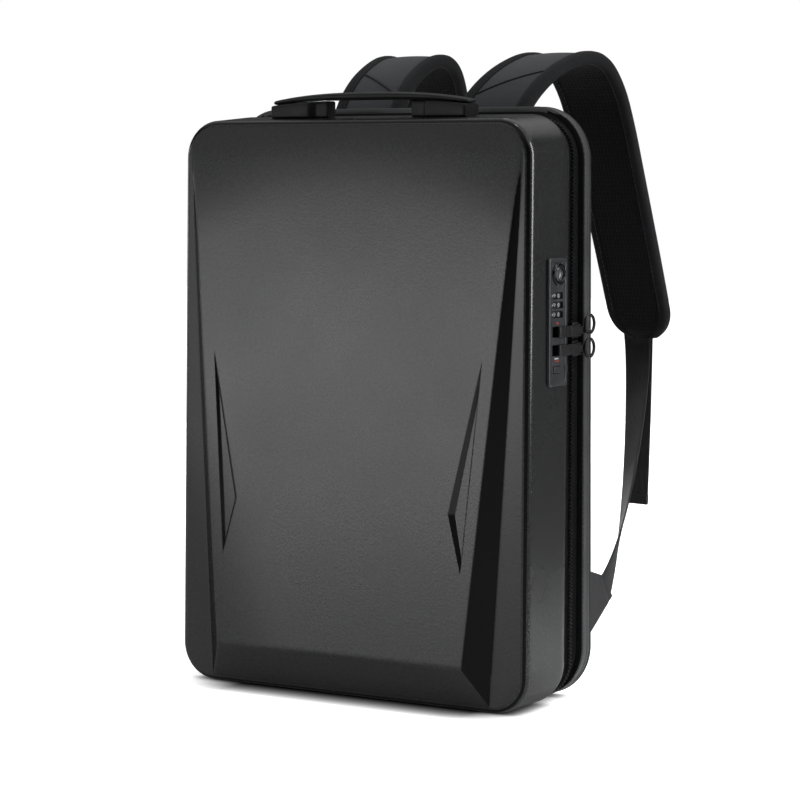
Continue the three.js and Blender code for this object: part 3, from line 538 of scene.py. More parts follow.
def satin_finish(name, colour, roughness=0.42, grain=0.0006, specular=0.5):
    """Moulded satin plastic: a fine spark-eroded grain and faint handling marks in the gloss."""
    f = Finish(name, colour, roughness, specular)
    where = f.where()
    marks = f.noise(where, 0.018, 5)
    f.paint(f.mix(f.span(marks, 0.3, 0.7, 0, 1), f.tint(0.85), f.tint(1.18)))
    f.rough(f.span(marks, 0.3, 0.7, roughness - 0.06, roughness + 0.06))
    f.relief(f.noise(where, grain, 2), 0.00006, 0.5)
    return f.material


def metal_finish(name, colour, roughness, metallic):
    """Cast or drawn metal with fine scratches in its gloss."""
    f = Finish(name, colour, roughness, Metallic=metallic)
    where = f.where()
    rub = f.noise(where, 0.004, 6)
    f.paint(f.mix(f.span(rub, 0.3, 0.7, 0, 1), f.tint(0.8), f.tint(1.25)))
    f.rough(f.span(rub, 0.3, 0.7, roughness - 0.08, roughness + 0.08))
    f.relief(f.noise(where, 0.0005, 2), 0.00003, 0.4)
    return f.material


def woven_finish(name, colour, thread, sheen=0.25, specular=0.3):
    """Plain weave on the UV map: two sets of rounded threads crossing, with slubs and a soft sheen."""
    f = Finish(name, colour, 0.8, specular, **{"Sheen Weight": sheen, "Sheen Roughness": 0.4})
    where = f.where("UV")
    weave = f.sum("MULTIPLY", f.bands(where, thread, "X"), f.bands(where, thread, "Y"))
    slub = f.noise(f.node("Mapping", {"Vector": where, "Scale": (1, 9, 1)}).outputs[0], 0.02, 4)
    cloud = f.noise(f.where(), 0.05, 3)
    tone = f.mix(f.span(weave, 0, 0.8, 0, 1), f.tint(0.7), f.tint(1.25))
    f.paint(f.mix(f.span(f.sum("ADD", slub, cloud), 0.7, 1.3, 0, 0.5), tone, f.tint(1.5)))
    f.relief(weave, 0.00018, 0.7)
    f.relief(cloud, 0.0012, 0.25)
    return f.material


def coated_finish():
    """Coated cloth of the rim: a smooth skin over a faint weave, with a satin gloss."""
    f = Finish("rim_cloth", colours().rim, 0.45, 0.45)
    where = f.where("UV")
    weave = f.sum("MULTIPLY", f.bands(where, 0.0011, "X"), f.bands(where, 0.0011, "Y"))
    cloud = f.noise(f.where(), 0.03, 4)
    f.paint(f.mix(f.span(cloud, 0.3, 0.7, 0, 1), f.tint(0.8), f.tint(1.2)))
    f.rough(f.span(cloud, 0.3, 0.7, 0.38, 0.52))
    f.relief(weave, 0.0001, 0.6)
    f.relief(cloud, 0.0008, 0.3)
    return f.material


def mesh_finish(flat=False):
    """Air mesh: rows of small holes in a knitted face, worked out flat on the back or along the strap's UV map."""
    f = Finish("air_mesh_flat" if flat else "air_mesh", colours().mesh, 0.85, 0.5 if flat else 0.2,
               **{"Sheen Weight": 0.06})
    where = f.where("UV")
    if flat:
        split = f.node("SeparateXYZ", {"Vector": f.where()})
        where = f.node("CombineXYZ", {"X": split.outputs["X"], "Y": split.outputs["Z"]}).outputs[0]
    node = f.node("TexVoronoi", {"Vector": where, "Scale": 1 / sizes().mesh_cell, "Randomness": 0.25},
                  voronoi_dimensions="2D")
    hole = f.span(node.outputs["Distance"], 0.18, 0.42, 0, 1)
    knit = f.bands(where, 0.0007, "DIAGONAL")
    f.paint(f.mix(hole, f.tint(0.35 if flat else 0.6), f.tint(1.5 if flat else 1.2)))
    f.relief(f.sum("ADD", hole, f.sum("MULTIPLY", knit, 0.25)), 0.0007 if flat else 0.0004, 0.8)
    return f.material


def webbing_finish(name, colour, sheen=0.08, specular=0.12):
    """Woven strap webbing: ribs along the strap on the UV map, each crossed by fine weft threads."""
    f = Finish(name, colour, 0.75, specular, **{"Sheen Weight": sheen, "Sheen Roughness": 0.4})
    where = f.where("UV")
    rib = f.bands(where, sizes().rib, "X")
    weft = f.bands(where, sizes().rib * 0.6, "Y")
    weave = f.sum("MULTIPLY", rib, f.span(weft, 0, 1, 0.55, 1))
    cloud = f.noise(f.where(), 0.02, 3)
    tone = f.mix(f.span(weave, 0, 0.9, 0, 1), f.tint(0.6), f.tint(1.3))
    f.paint(f.mix(f.span(cloud, 0.35, 0.65, 0, 0.4), tone, f.tint(1.4)))
    f.relief(weave, 0.00028, 0.8)
    return f.material


def thread_finish(name, colour, sheen=0.2):
    """Twisted sewing thread: fine slanting plies."""
    f = Finish(name, colour, 0.6, 0.2, **{"Sheen Weight": sheen})
    twist = f.bands(f.where(), 0.0005, "DIAGONAL")
    f.paint(f.mix(twist, f.tint(0.75), f.tint(1.2)))
    f.relief(twist, 0.00008, 0.6)
    return f.material


def paint_finish(name, colour):
    """Pad-printed paint, slightly uneven."""
    f = Finish(name, colour, 0.5)
    wear = f.noise(f.where(), 0.0012, 3)
    f.paint(f.mix(f.span(wear, 0.35, 0.65, 0, 1), f.tint(0.82), f.tint(1.0)))
    f.relief(wear, 0.00003, 0.3)
    return f.material


# Outlines

def loop_samples(corner_steps, side_steps, end_steps):
    """Stations round a rounded rectangle, anticlockwise from the bottom right corner.

    Each is a blend w from a point on corner k0 at angle a0 to one on corner k1 at angle a1, so the same
    stations serve outlines of any size."""
    parts = []
    for k, steps in enumerate((side_steps, end_steps, side_steps, end_steps)):
        start = 90.0 * k - 90
        arc = np.linspace(start, start + 90, corner_steps + 1)
        w = np.arange(1, steps) / steps
        same, side = np.full(arc.shape, k), np.full(w.shape, k)
        parts.append(np.stack([same, arc, same, arc, 0 * arc]))
        parts.append(np.stack([side, 0 * w + start + 90, (side + 1) % 4, 0 * w + start + 90, w]))
    return np.concatenate(parts, 1)


def outline(samples, half, bottom, top, corner):
    """X and Z of the stations on a rounded rectangle standing on bottom."""
    k0, a0, k1, a1, w = samples
    cx = (half - corner) * np.array([1, 1, -1, -1])
    cz = np.array([bottom + corner, top - corner, top - corner, bottom + corner])

    def at(k, a):
        """Points on the corners k at the angles a."""
        k, a = k.astype(int), np.radians(a)
        return cx[k] + corner * np.cos(a), cz[k] + corner * np.sin(a)

    (x0, z0), (x1, z1) = at(k0, a0), at(k1, a1)
    return lerp(x0, x1, w), lerp(z0, z1, w)


def outward(samples):
    """Direction out of the outline at each station."""
    a = np.radians(samples[1])
    return np.stack([np.cos(a), 0 * a, np.sin(a)], -1)


def lean(z):
    """How far the shell's front leans forward, most at the foot."""
    return -SHELL.lean * (1 - z / SHELL.top)


def mouth_y(z):
    """Y of the shell's open edge."""
    return SHELL.front + SHELL.depth + lean(z)


def coil_y(z):
    """Y of the zip's middle, halfway between the shell and the rim."""
    return (mouth_y(z) + RIM.front) / 2


def rear_y(z):
    """Y of the rim's rear face, further back at the foot."""
    return lerp(RIM.rear_foot, RIM.rear_top, z / RIM.top)


def shell_line(samples, depth, inset):
    """A line round the shell's wall at a depth from the front, drawn in by inset."""
    t = depth / SHELL.depth
    x, z = outline(samples, SHELL.half + SHELL.flare * t - inset, inset, SHELL.top + SHELL.rise * t - inset,
                   SHELL.corner + SHELL.growth * t - inset)
    return np.stack([x, SHELL.front + depth + lean(z), z], -1)


def mouth_line(samples, inset, y):
    """A line round the zip, drawn in from the shell's open edge; y is a function of z."""
    x, z = outline(samples, SHELL.half + SHELL.flare - inset, inset, SHELL.top + SHELL.rise - inset,
                   SHELL.corner + SHELL.growth - inset)
    return np.stack([x, y(z), z], -1)


def rim_line(samples, inset, y):
    """A line round the rim, drawn in by inset; y is a function of z."""
    x, z = outline(samples, RIM.half - inset, RIM.bottom + inset, RIM.top - inset, RIM.corner - inset)
    return np.stack([x, y(z), z], -1)


# Shell

def panel_outer(z):
    """X of the raised panel's outer edge."""
    return lerp(PANEL.outer_toe, PANEL.outer_top, (z - PANEL.toe) / (PANEL.top - PANEL.toe))


def panel_crease(z):
    """X of the straight line that the crease between the panel's face and its side facet lies on."""
    return lerp(PANEL.inner_foot, PANEL.inner_top, (z - PANEL.foot) / (PANEL.top - PANEL.foot))


def panel_inner(z):
    """X of the panel's crease; below the foot it runs out to the toe."""
    low = lerp(PANEL.outer_toe, PANEL.inner_foot, (z - PANEL.toe) / (PANEL.foot - PANEL.toe))
    return np.where(z < PANEL.foot, low, panel_crease(z))


def panel_height(x, z):
    """Height of the raised panel: the lowest of its face, its two side facets and its bottom facet, never below 0."""
    down = (PANEL.top - z) / (PANEL.top - PANEL.foot)
    face = soft_max(PANEL.rise * np.sign(down) * np.abs(down) ** PANEL.curve, 0.0 * x, 2.5)
    side = np.minimum(face, PANEL.rise) * (panel_outer(z) - x) / (panel_outer(z) - panel_crease(z))
    bottom = PANEL.rise * (z - PANEL.toe) / (PANEL.foot - PANEL.toe)
    return soft_max(soft_min(soft_min(face, side, 0.9), bottom, 1.4), 0.0 * x, 0.5)


def blade_depth(x, z):
    """Depth of the blade recess: the least of a tilted floor and three sloping walls, never below 0."""
    p, q = BLADE[:, :2], np.roll(BLADE[:, :2], -1, 0)
    edge = unit(q - p)
    normal = np.stack([-edge[:, 1], edge[:, 0]], -1)
    normal *= np.sign(np.sum((p.mean(0) - p) * normal, 1))[:, None]
    d = [(x - p[n, 0]) * normal[n, 0] + (z - p[n, 1]) * normal[n, 1] for n in range(3)]
    plane = np.linalg.solve(np.column_stack([p, np.ones(3)]), BLADE[:, 2])
    floor = plane[0] * x + plane[1] * z + plane[2]
    walls = soft_min(soft_min(d[0] * 0.95, d[1] * 0.95, 0.5), d[2] * 1.7, 0.5)
    return soft_max(soft_min(walls, floor, 0.5), 0.0 * x, 0.4)


def rounded_rows(low, high, r, straight):
    """Heights of rows across a rounded rectangle, how far each row's ends are cut back by the corners, and the
    ends' stations. The corners, of radius r, turn about low and high."""
    turn = np.linspace(0, 90, 14)
    a = np.radians(turn)
    zero = 0 * straight
    z = np.concatenate([low - r * np.cos(a), straight, high + r * np.sin(a)])
    cut = np.concatenate([r * (1 - np.sin(a)), zero, r * (1 - np.cos(a))])
    corner = np.concatenate([0 * a, zero, 1 + 0 * a])
    angle = np.concatenate([turn - 90, zero, turn])
    weight = np.concatenate([0 * a, (straight - low) / (high - low), 0 * a])
    upper = np.concatenate([0 * a, zero + 1, 1 + 0 * a])
    return z, cut, np.stack([corner, angle, upper, angle, weight])


def border(face, ends, flat):
    """Point numbers round a face's grid, and their stations on the outline that the face is cut from."""
    number = np.arange(face[..., 0].size).reshape(face.shape[:2])
    loop = np.concatenate([number[0], number[1:, -1], number[-1, -2::-1], number[-2:0:-1, 0]])
    one = np.ones(face.shape[1])
    bottom = np.stack([3 * one, -90 * one, 0 * one, -90 * one, (face[0, :, 0] + flat) / (2 * flat)])
    top = np.stack([one, 90 * one, 2 * one, 90 * one, (flat - face[-1, ::-1, 0]) / (2 * flat)])
    left = ends.copy()
    left[[0, 2]] = 3 - ends[[0, 2]]
    left[[1, 3]] = 180 - ends[[1, 3]]
    return loop, np.concatenate([bottom, ends[:, 1:], top[:, 1:], left[:, -2:0:-1]], 1)


def box_skin(near, lines, far, loop):
    """Points and quads of a closed skin: a face's grid, lines round its border, and the grid of the face behind."""
    first = near[..., 0].size
    middle = first + np.arange(lines[..., 0].size).reshape(lines.shape[:2])
    behind = first + middle.size
    chain = np.vstack([loop, middle, loop + behind])
    a, b = chain[:-1], chain[1:]
    strips = np.stack([a, b, np.roll(b, -1, 1), np.roll(a, -1, 1)], -1).reshape(-1, 4)
    face = grid_quads(*near.shape[:2])
    points = np.concatenate([near.reshape(-1, 3), lines.reshape(-1, 3), far.reshape(-1, 3)])
    return points, np.concatenate([face, strips, face[:, ::-1] + behind])


def shell_front():
    """The front's grid: rows by height, columns gathered at the creases of the panel and of the blades."""
    low, high = SHELL.corner, SHELL.top - SHELL.corner
    marks = [PANEL.foot, PANEL.foot - 1, PANEL.foot + 1, PANEL.top, *BLADE[:, 1]]
    straight = np.unique(np.round(np.concatenate([np.linspace(low, high, 215), marks]), 1))[1:-1]
    z, cut, ends = rounded_rows(low, high, SHELL.corner - SHELL.edge, straight)
    half = SHELL.half - SHELL.edge - cut
    outer = np.minimum(panel_outer(np.minimum(z, PANEL.top)), half - 1.2)
    inner = np.minimum(panel_inner(np.minimum(z, PANEL.top)), outer - 1.2)
    (x0, z0), (x1, z1), (x2, z2) = BLADE[:, :2]
    blade_out = np.minimum(lerp(x2, x0, (z - z2) / (z0 - z2)), inner - 3)
    blade_in = np.where((z < z2) | (z > z0), 999, np.interp(z, [z2, z1, z0], [x2, x1, x0]))
    blade_in = np.minimum(blade_in, blade_out - 1.5)
    stops = [0 * z, blade_in, blade_out, inner, outer, half]
    shares = [
        np.array([0, 0.12, 0.24, 0.36, 0.48, 0.6, 0.7, 0.8, 0.88, 0.94, 0.97, 0.985, 0.995]),
        np.linspace(0, 1, 21)[:-1],
        np.array([0, 0.05, 0.15, 0.35, 0.65, 0.85, 0.95]),
        np.array([0, 0.03, 0.08, 0.18, 0.34, 0.5, 0.66, 0.82, 0.92, 0.97]),
        np.array([0, 0.06, 0.2, 0.5, 1.0]),
    ]
    right = np.concatenate([lerp(stops[n][:, None], stops[n + 1][:, None], share)
                            for n, share in enumerate(shares)], 1)
    x = np.concatenate([-right[:, :0:-1], right], 1)
    zz = np.broadcast_to(z[:, None], x.shape)
    height = panel_height(np.abs(x), zz)
    recess = blade_depth(np.abs(x), zz)
    y = SHELL.front + lean(zz) - height + recess
    slope = np.abs(np.gradient(y, axis=1) / np.gradient(x, axis=1))
    facet = ease(slope, 0.22, 0.45)
    bottom = ease(PANEL.foot - zz, 0, 2) * ease(zz, PANEL.toe, PANEL.toe + 2) * (np.abs(x) < inner[:, None])
    flat = 1 - ease(height, 0.2, 1.2)
    inside = (np.abs(x) < outer[:, None]) | (zz > PANEL.top)
    dull = 1.2 * ease(zz + 26 * (x / 140) ** 2, PANEL.dull - 38, PANEL.dull + 38)
    matte = np.maximum(dull * np.where(inside, 1.0, 0.3), ease(-x - 0.55 * (zz - PANEL.foot), 10, 120))
    matte = np.maximum(matte, 0.45 * (x < 0) * flat)
    # Quads steep enough to take the darker shell finish: painted shade on the facets.
    steep = facet * (np.abs(x) > inner[:, None] - 0.5)
    side = (steep[:-1, :-1] + steep[1:, :-1] + steep[:-1, 1:] + steep[1:, 1:]) / 4 > 0.5
    # Painted shade: how far the shell's colour is darkened, on the facets, over the bottom bevel and over the flat
    # border.
    painted_shade = np.maximum(np.maximum(facet, 0.2 * bottom), 0.55 * flat)
    return np.stack([x, y, zz], -1), painted_shade, matte, side, ends


EDGE_TURN = np.array([10, 20, 32, 45, 57, 62, 68, 74, 80, 90])


def edge_rings():
    """Depth and inset round the front edge: its turn summed over the radius of its curve.

    The radius is widest from 62 to 80 degrees."""
    fine = np.radians(np.arange(0.5, 90))
    radius = np.interp(np.degrees(fine), [20, 23, 58, 63, 79, 83], [6.0, 4.0, 4.0, 9.0, 9.0, 3.0])
    depth, inset = np.cumsum(radius * np.sin(fine)), np.cumsum(radius * np.cos(fine))
    scale = SHELL.edge / inset[-1]
    return list(zip(scale * depth[EDGE_TURN - 1], SHELL.edge - scale * inset[EDGE_TURN - 1]))


def toe_out(points):
    """Points of the shell with its front drawn forward and, towards the foot, wider; its mouth stays."""
    x, y, z = points.T
    front, down = np.clip((mouth_y(z) - y) / SHELL.depth, 0, 1), np.clip(1 - z / SHELL.top, 0, 1)
    wide = (SHELL.toe_wide * down - SHELL.front_in) * (x / SHELL.half) ** 4 * np.sign(x)
    return np.stack([x + front * wide, y - front * (SHELL.front_out + SHELL.toe_out * down), z], -1)


def shell_skin():
    """The shell as one closed skin: front grid, rounded edge, wall, lip, inner wall and inner face."""
    front, facet, matte, side, ends = shell_front()
    loop, samples = border(front, ends, SHELL.half - SHELL.corner)
    d, w = SHELL.depth, SHELL.wall
    rings = edge_rings() + [(depth, 0) for depth in (9, 16, 26, 36, 44, d - 7)]
    rings += [(d - 5.4, 0.08), (d - 4, 0.3), (d - 2.8, 0.62), (d - 1.8, 1.0), (d - 0.9, 1.5), (d - 0.3, 2.0),
              (d, w - 0.3), (d - 0.3, w)]
    rings += [(depth, w) for depth in (42, 22, 8)] + [(4.2, w + 0.6), (3, w + 1.6)]
    lines = np.stack([shell_line(samples, depth, inset) for depth, inset in rings])
    back = front + np.array([0, w, 0])
    points, quads = box_skin(front, lines, back, loop)
    bearing = (samples[1] + 90) % 360
    # Strips of the front edge's rounding that take the darker shell finish, chosen by which side they face: painted
    # shade on the edge.
    painted_edge_shade = np.zeros((len(rings) + 1, len(loop)), int)
    painted_edge_shade[2:5] = 1
    painted_edge_shade[5:10] = bearing > 170
    painted_edge_shade[2, (bearing > 240) & (bearing < 315)] = 0
    marks = np.concatenate([side.ravel().astype(int), painted_edge_shade.ravel(), np.zeros(side.size, int)])
    skin = Skin().put(toe_out(points), quads, finish=marks)
    plain = np.zeros(facet.size)
    ring = np.broadcast_to(np.where(np.arange(len(rings)) < len(EDGE_TURN) - 1, 1.0, 0.0)[:, None], lines.shape[:2])
    values = {"facet": (facet.ravel(), 0 * ring.ravel()), "matte": (matte.ravel(), 0 * ring.ravel()),
              "edge": (plain, ring.ravel())}
    return skin, {title: np.concatenate([*parts, plain]) for title, parts in values.items()}


def lock_point(x, y, z):
    """A point given from the lock's own corner: out of the wall, backwards, and its height in the frame."""
    c, s = math.cos(LOCK.turn), math.sin(LOCK.turn)
    px, py, _ = LOCK.place
    return np.stack([px + c * x - s * y, py + s * x + c * y, z + 0 * x], -1)


def cut_lock_opening(shell):
    """Cuts the opening that the lock's body passes through in the shell's right wall."""
    half, high = LOCK.body_half + 0.5, LOCK.body_high + 0.5
    x = np.array([-18.0, -18, -18, -18, 1, 1, 1, 1])
    y = np.array([-1.0, 1, 1, -1, -1, 1, 1, -1]) * half
    z = LOCK.place[2] + np.array([-1.0, -1, 1, 1, -1, -1, 1, 1]) * high
    block = Skin().grid(lock_point(x, y, z).reshape(2, 4, 3))
    mesh = bpy.data.meshes.new("lock_opening")
    mesh.from_pydata(block.points[0] * MM, [], block.quads[0].tolist() + [c.tolist() for c in block.caps])
    cutter = bpy.data.objects.new("lock_opening", mesh)
    bpy.context.scene.collection.objects.link(cutter)
    cut = shell.modifiers.new("lock_opening", "BOOLEAN")
    cut.object = cutter
    cut.solver = "EXACT"
    result = bpy.data.meshes.new_from_object(shell.evaluated_get(bpy.context.evaluated_depsgraph_get()))
    shell.modifiers.clear()
    shell.data = result
    bpy.data.objects.remove(cutter)


class BACKPACK_OT_shell(bpy.types.Operator):
    """Make the moulded shell with its faceted panel and blade recesses"""

    bl_idname = "backpack.shell"
    bl_label = "Shell"

    def execute(self, context):
        skin, values = shell_skin()
        shell = piece("shell_moulding", skin, [shell_finish(), facet_finish()], replaces=["front_shell"],
                      sharp=60, values=values)
        cut_lock_opening(shell)
        return {"FINISHED"}


# Handle

def grip_top(x):
    """Height of the grip's bowed top."""
    return HANDLE.crown - HANDLE.crown_drop * np.abs(x / HANDLE.half) ** 2.6


def grip_under(x):
    """Height of the grip's underside, flatter than its top."""
    return HANDLE.under - HANDLE.under_drop * np.abs(x / HANDLE.half) ** 4


def shell_top(y):
    """Height of the shell's top wall, which rises towards the back."""
    return SHELL.top + SHELL.rise * (y - SHELL.front) / SHELL.depth


def handle_bow_skin():
    """The grip: a rounded section carried along X between its top and underside, closing in at both ends."""
    t = np.linspace(-1, 1, 81)
    x = HANDLE.half * np.sin(t * np.pi / 2)
    close = np.sqrt(1 - 0.9 * np.clip((np.abs(x) - HANDLE.half + 5) / 5, 0, 1) ** 2)
    wide = (HANDLE.width / 2 - 3.0 * np.abs(x / HANDLE.half) ** 3) * close
    top, under = grip_top(x), grip_under(x)
    middle, high = (top + under) / 2, (top - under) / 2 * close
    cy, cz = superellipse(44, 3.2)
    y = HANDLE.y + wide[:, None] * cy
    z = middle[:, None] + high[:, None] * cz
    return Skin().grid(np.stack([np.broadcast_to(x[:, None], y.shape), y, z], -1))


def handle_block_skin(side):
    """An end block: a rounded box carried along X from the shell's top to the grip, its arm narrow."""
    x = np.concatenate([[HANDLE.arm_in + 0.05, HANDLE.arm_in + 0.5],
                        np.linspace(HANDLE.arm_in + 1.5, HANDLE.block_out - 1.5, 50),
                        [HANDLE.block_out - 0.5, HANDLE.block_out]])
    wide = lerp(HANDLE.arm_wide, HANDLE.block_wide, ease(x, HANDLE.block_in - 3, HANDLE.block_in + 3)) / 2
    ends = np.clip(np.minimum(x - HANDLE.arm_in, HANDLE.block_out - x) / 1.5, 0, 1)
    wide = wide - 0.9 * (1 - np.sqrt(ends))
    cy, cz = superellipse(36, 7)
    y = HANDLE.y + wide[:, None] * cy
    low = shell_top(y) + 0.15
    top = grip_under(x) - GAP
    z = low + (top[:, None] - low) * (cz + 1) / 2
    return Skin().grid(np.stack([side * np.broadcast_to(x[:, None], y.shape), y, z], -1))


class BACKPACK_OT_handle(bpy.types.Operator):
    """Make the bowed carry handle and its two end blocks"""

    bl_idname = "backpack.handle"
    bl_label = "Handle"

    def execute(self, context):
        finish = satin_finish("handle_satin", colours().grip, 0.46, specular=0.22)
        piece("handle_bow", handle_bow_skin(), [finish], replaces=["handle_grip"])
        for side, word in SIDES:
            piece(f"handle_block_{word}", handle_block_skin(side), [finish],
                  replaces=[f"handle_mount_{word}"])
        return {"FINISHED"}


# Lock

def figure_mesh(text, height, depth):
    """Points in millimetres and faces of one figure as a thin solid, centred on its own middle."""
    curve = bpy.data.curves.new("figure", "FONT")
    curve.body = text
    curve.size = 1.0
    curve.resolution_u = 3
    curve.extrude = 0.5
    obj = bpy.data.objects.new("figure", curve)
    bpy.context.scene.collection.objects.link(obj)
    bpy.context.view_layer.update()
    mesh = bpy.data.meshes.new_from_object(obj.evaluated_get(bpy.context.evaluated_depsgraph_get()))
    points = np.empty(len(mesh.vertices) * 3, np.float32)
    mesh.vertices.foreach_get("co", points)
    points = points.reshape(-1, 3).astype(float)
    faces = [list(p.vertices) for p in mesh.polygons]
    bpy.data.objects.remove(obj)
    bpy.data.curves.remove(curve)
    bpy.data.meshes.remove(mesh)
    low, high = points.min(0), points.max(0)
    points -= (low + high) / 2
    points[:, :2] *= height / (high[1] - low[1])
    points[:, 2] *= depth
    return points, faces


def dial_figures(z):
    """The ten figures bent round a dial: distance across a figure becomes an angle, its thickness a radius."""
    points, faces, count = [], [], 0
    for figure in range(10):
        flat, polygons = figure_mesh(str(figure), sizes().figure / MM, 0.12)
        angle = math.radians(36 * figure) + flat[:, 0] / LOCK.dial_r
        r = LOCK.dial_r + flat[:, 2]
        points.append(lock_point(r * np.cos(angle) - LOCK.dial_sunk, r * np.sin(angle), z + flat[:, 1]))
        faces += [[n + count for n in polygon] for polygon in polygons]
        count += len(flat)
    return np.concatenate(points), faces


def plain_mesh(name, points, faces, finish, body):
    """A piece from points in millimetres and faces of any number of corners, its doubles merged."""
    mesh = bpy.data.meshes.new(name)
    mesh.from_pydata(points * MM, [], faces)
    mesh.materials.append(finish)
    obj = link(name, mesh, body)
    weld = obj.modifiers.new("join_corners", "WELD")
    weld.merge_threshold = 0.000002
    return obj


def bar_skin(spots):
    """Small bevelled bars printed on the lock's face: middle across, middle height, width and height of each."""
    skin = Skin()
    cy, cz = superellipse(24, 5)
    for y, z, wide, high in spots:
        skin.grid(np.stack([lock_point(LOCK.face + x + 0 * cy, y + cy * wide / 2 * share, z + cz * high / 2 * share)
                            for x, share in ((-0.2, 1.0), (0.06, 1.0), (0.12, 0.9))]))
    return skin


def frame_skin():
    """The raised border of the lock plate: a low section carried round the plate's outline."""
    samples = loop_samples(6, 24, 8)
    rings = [(0.2, -0.3), (0.2, 0.15), (0.6, 0.45), (3.6, 0.45), (4.0, 0.15), (4.0, -0.3)]
    lines = []
    for inset, high in rings:
        y, z = outline(samples, LOCK.plate_half - inset, -LOCK.plate_high + inset, LOCK.plate_high - inset,
                       max(2.5 - inset, 1.0))
        lines.append(lock_point(LOCK.face + high + 0 * y, y, LOCK.place[2] + z))
    return Skin().hoop(lines)


def collar_skin():
    """The rounded collar of the keyhole: a low arch carried round a circle."""
    angle = np.linspace(0, 2 * np.pi, 64, endpoint=False)
    rings = [(5.95, 0.2), (5.95, 1.2), (6.3, 1.65), (7.2, 1.9), (8.2, 1.65), (8.9, 1.0), (9.1, 0.3), (9.1, -0.2),
             (8.0, -0.2)]
    lines = [lock_point(LOCK.face + high + 0 * angle, LOCK.key_at + r * np.cos(angle), LOCK.key_z + r * np.sin(angle))
             for r, high in rings]
    return Skin().hoop(lines)


class BACKPACK_OT_lock(bpy.types.Operator):
    """Finish the lock plate, dials, key plug and button, and print their figures and marks"""

    bl_idname = "backpack.lock"
    bl_label = "Lock"

    def execute(self, context):
        soften("lock_plate", satin_finish("lock_satin", colours().lock, 0.4), 0.5)
        soften("lock_button", satin_finish("button_satin", colours().lock, 0.35), 0.4)
        soften("lock_cylinder", metal_finish("key_steel", colours().steel, 0.28, 1.0), 0.3)
        dial = satin_finish("dial_satin", colours().dial, 0.38)
        paint = paint_finish("figure_paint", colours().paint)
        signal = paint_finish("signal_paint", colours().signal)
        for n, word in enumerate(("top", "middle", "bottom")):
            soften(f"lock_dial_{n + 1}", dial, 0.25)
            points, faces = dial_figures(LOCK.dial_z[n])
            plain_mesh(f"dial_figures_{word}", points, faces, paint, f"dial_{word}")
        piece("lock_frame", frame_skin(), [satin_finish("frame_satin", colours().lock, 0.36)])
        piece("key_collar", collar_skin(), [metal_finish("collar_metal", colours().collar, 0.24, 1.0)])
        ticks = [(-8.3, z, 1.6, 0.9) for z in LOCK.dial_z] + [(-2.0, 277.2, 6.0, 1.2)]
        piece("lock_ticks", bar_skin(ticks), [paint])
        piece("lock_signals", bar_skin([(-0.8, 304.6, 3.0, 2.0), (-1.3, 275.2, 5.6, 1.3)]), [signal])
        return {"FINISHED"}


# Zip

def tape_skin(stations):
    """A woven band: its outer line follows the stations' insets and depths, its inner line lies one tape within."""
    samples = loop_samples(14, 40, 30)
    outer = [line(samples, 0.0) for line in stations]
    inner = [line(samples, ZIP.tape - 0.2) for line in stations[::-1]]
    return Skin().hoop(outer + inner)


def at_mouth(inset, y):
    """A tape station: a line round the zip, drawn in by inset."""
    return lambda samples, more: mouth_line(samples, inset + more, y)


def at_rim(inset, y):
    """A tape station: a line round the rim, drawn in by inset."""
    return lambda samples, more: rim_line(samples, inset + more, y)


def zip_path():
    """Evenly dense points along the closed zip, from its right end under the bag up and over to its left end."""
    samples = loop_samples(40, 300, 220)
    line = mouth_line(samples, ZIP.sunk - 1.1, coil_y)
    out = outward(samples)
    low = (line[:, 2] < ZIP.sunk) & (np.abs(line[:, 0]) < ZIP.hinge_half)
    start = np.flatnonzero(low)[-1] + 1
    keep = np.roll(~low, -start)
    return np.roll(line, -start, 0)[keep], np.roll(out, -start, 0)[keep]


def zip_teeth_skin():
    """Interlocking teeth: short rods across the zip, every other one reaching from the other side."""
    line, out = zip_path()
    walked = walk(line)
    pitch = sizes().tooth / MM
    at = np.arange(pitch / 2, walked[-1], pitch)
    axis = np.broadcast_to([0.0, 1, 0], (len(at), 3))
    shift = np.where(np.arange(len(at)) % 2 == 0, 1.05, -1.05)
    middle = read_along(at, walked, line) + shift[:, None] * axis
    return Skin().stubs(middle, axis, unit(read_along(at, walked, out)), 3.9, 0.62, 0.95)


def ring_skin(n):
    """A wire ring standing in the YZ plane: a small circle carried round a large one."""
    z = RING.slot_z[n]
    big = np.linspace(0, 2 * np.pi, 48, endpoint=False)[:, None]
    small = np.linspace(0, 2 * np.pi, 12, endpoint=False)[None, :]
    r = RING.radius + RING.wire * np.cos(small)
    y = coil_y(z) + RING.eye + RING.radius + r * np.cos(big)
    points = np.stack([RING.x + RING.wire * np.sin(small) + 0 * big, y, z + RING.lift[n] + r * np.sin(big)], -1)
    return Skin().grid(points, True, True, False)


def pull_tip_skin(n):
    """The flat end of a pull over the lock's slot: a rounded section carried along Y, closing in at its tip."""
    y = np.concatenate([PULL.tip + np.array([0, 0.15, 0.5, 1.1, 2.0]), np.linspace(PULL.tip + 3, PULL.front, 6)])
    close = np.sqrt(1 - (1 - np.clip((y - PULL.tip + 0.12) / 2.1, 0, 1)) ** 2)[:, None]
    cx, cz = superellipse(28, 5)
    x = PULL.x + PULL.thick / 2 * np.maximum(close, 0.4) * cx
    z = RING.slot_z[n] + (PULL.high / 2 - 1.2 * (1 - close)) * cz
    return Skin().grid(np.stack([x, np.broadcast_to(y[:, None], x.shape), z], -1))


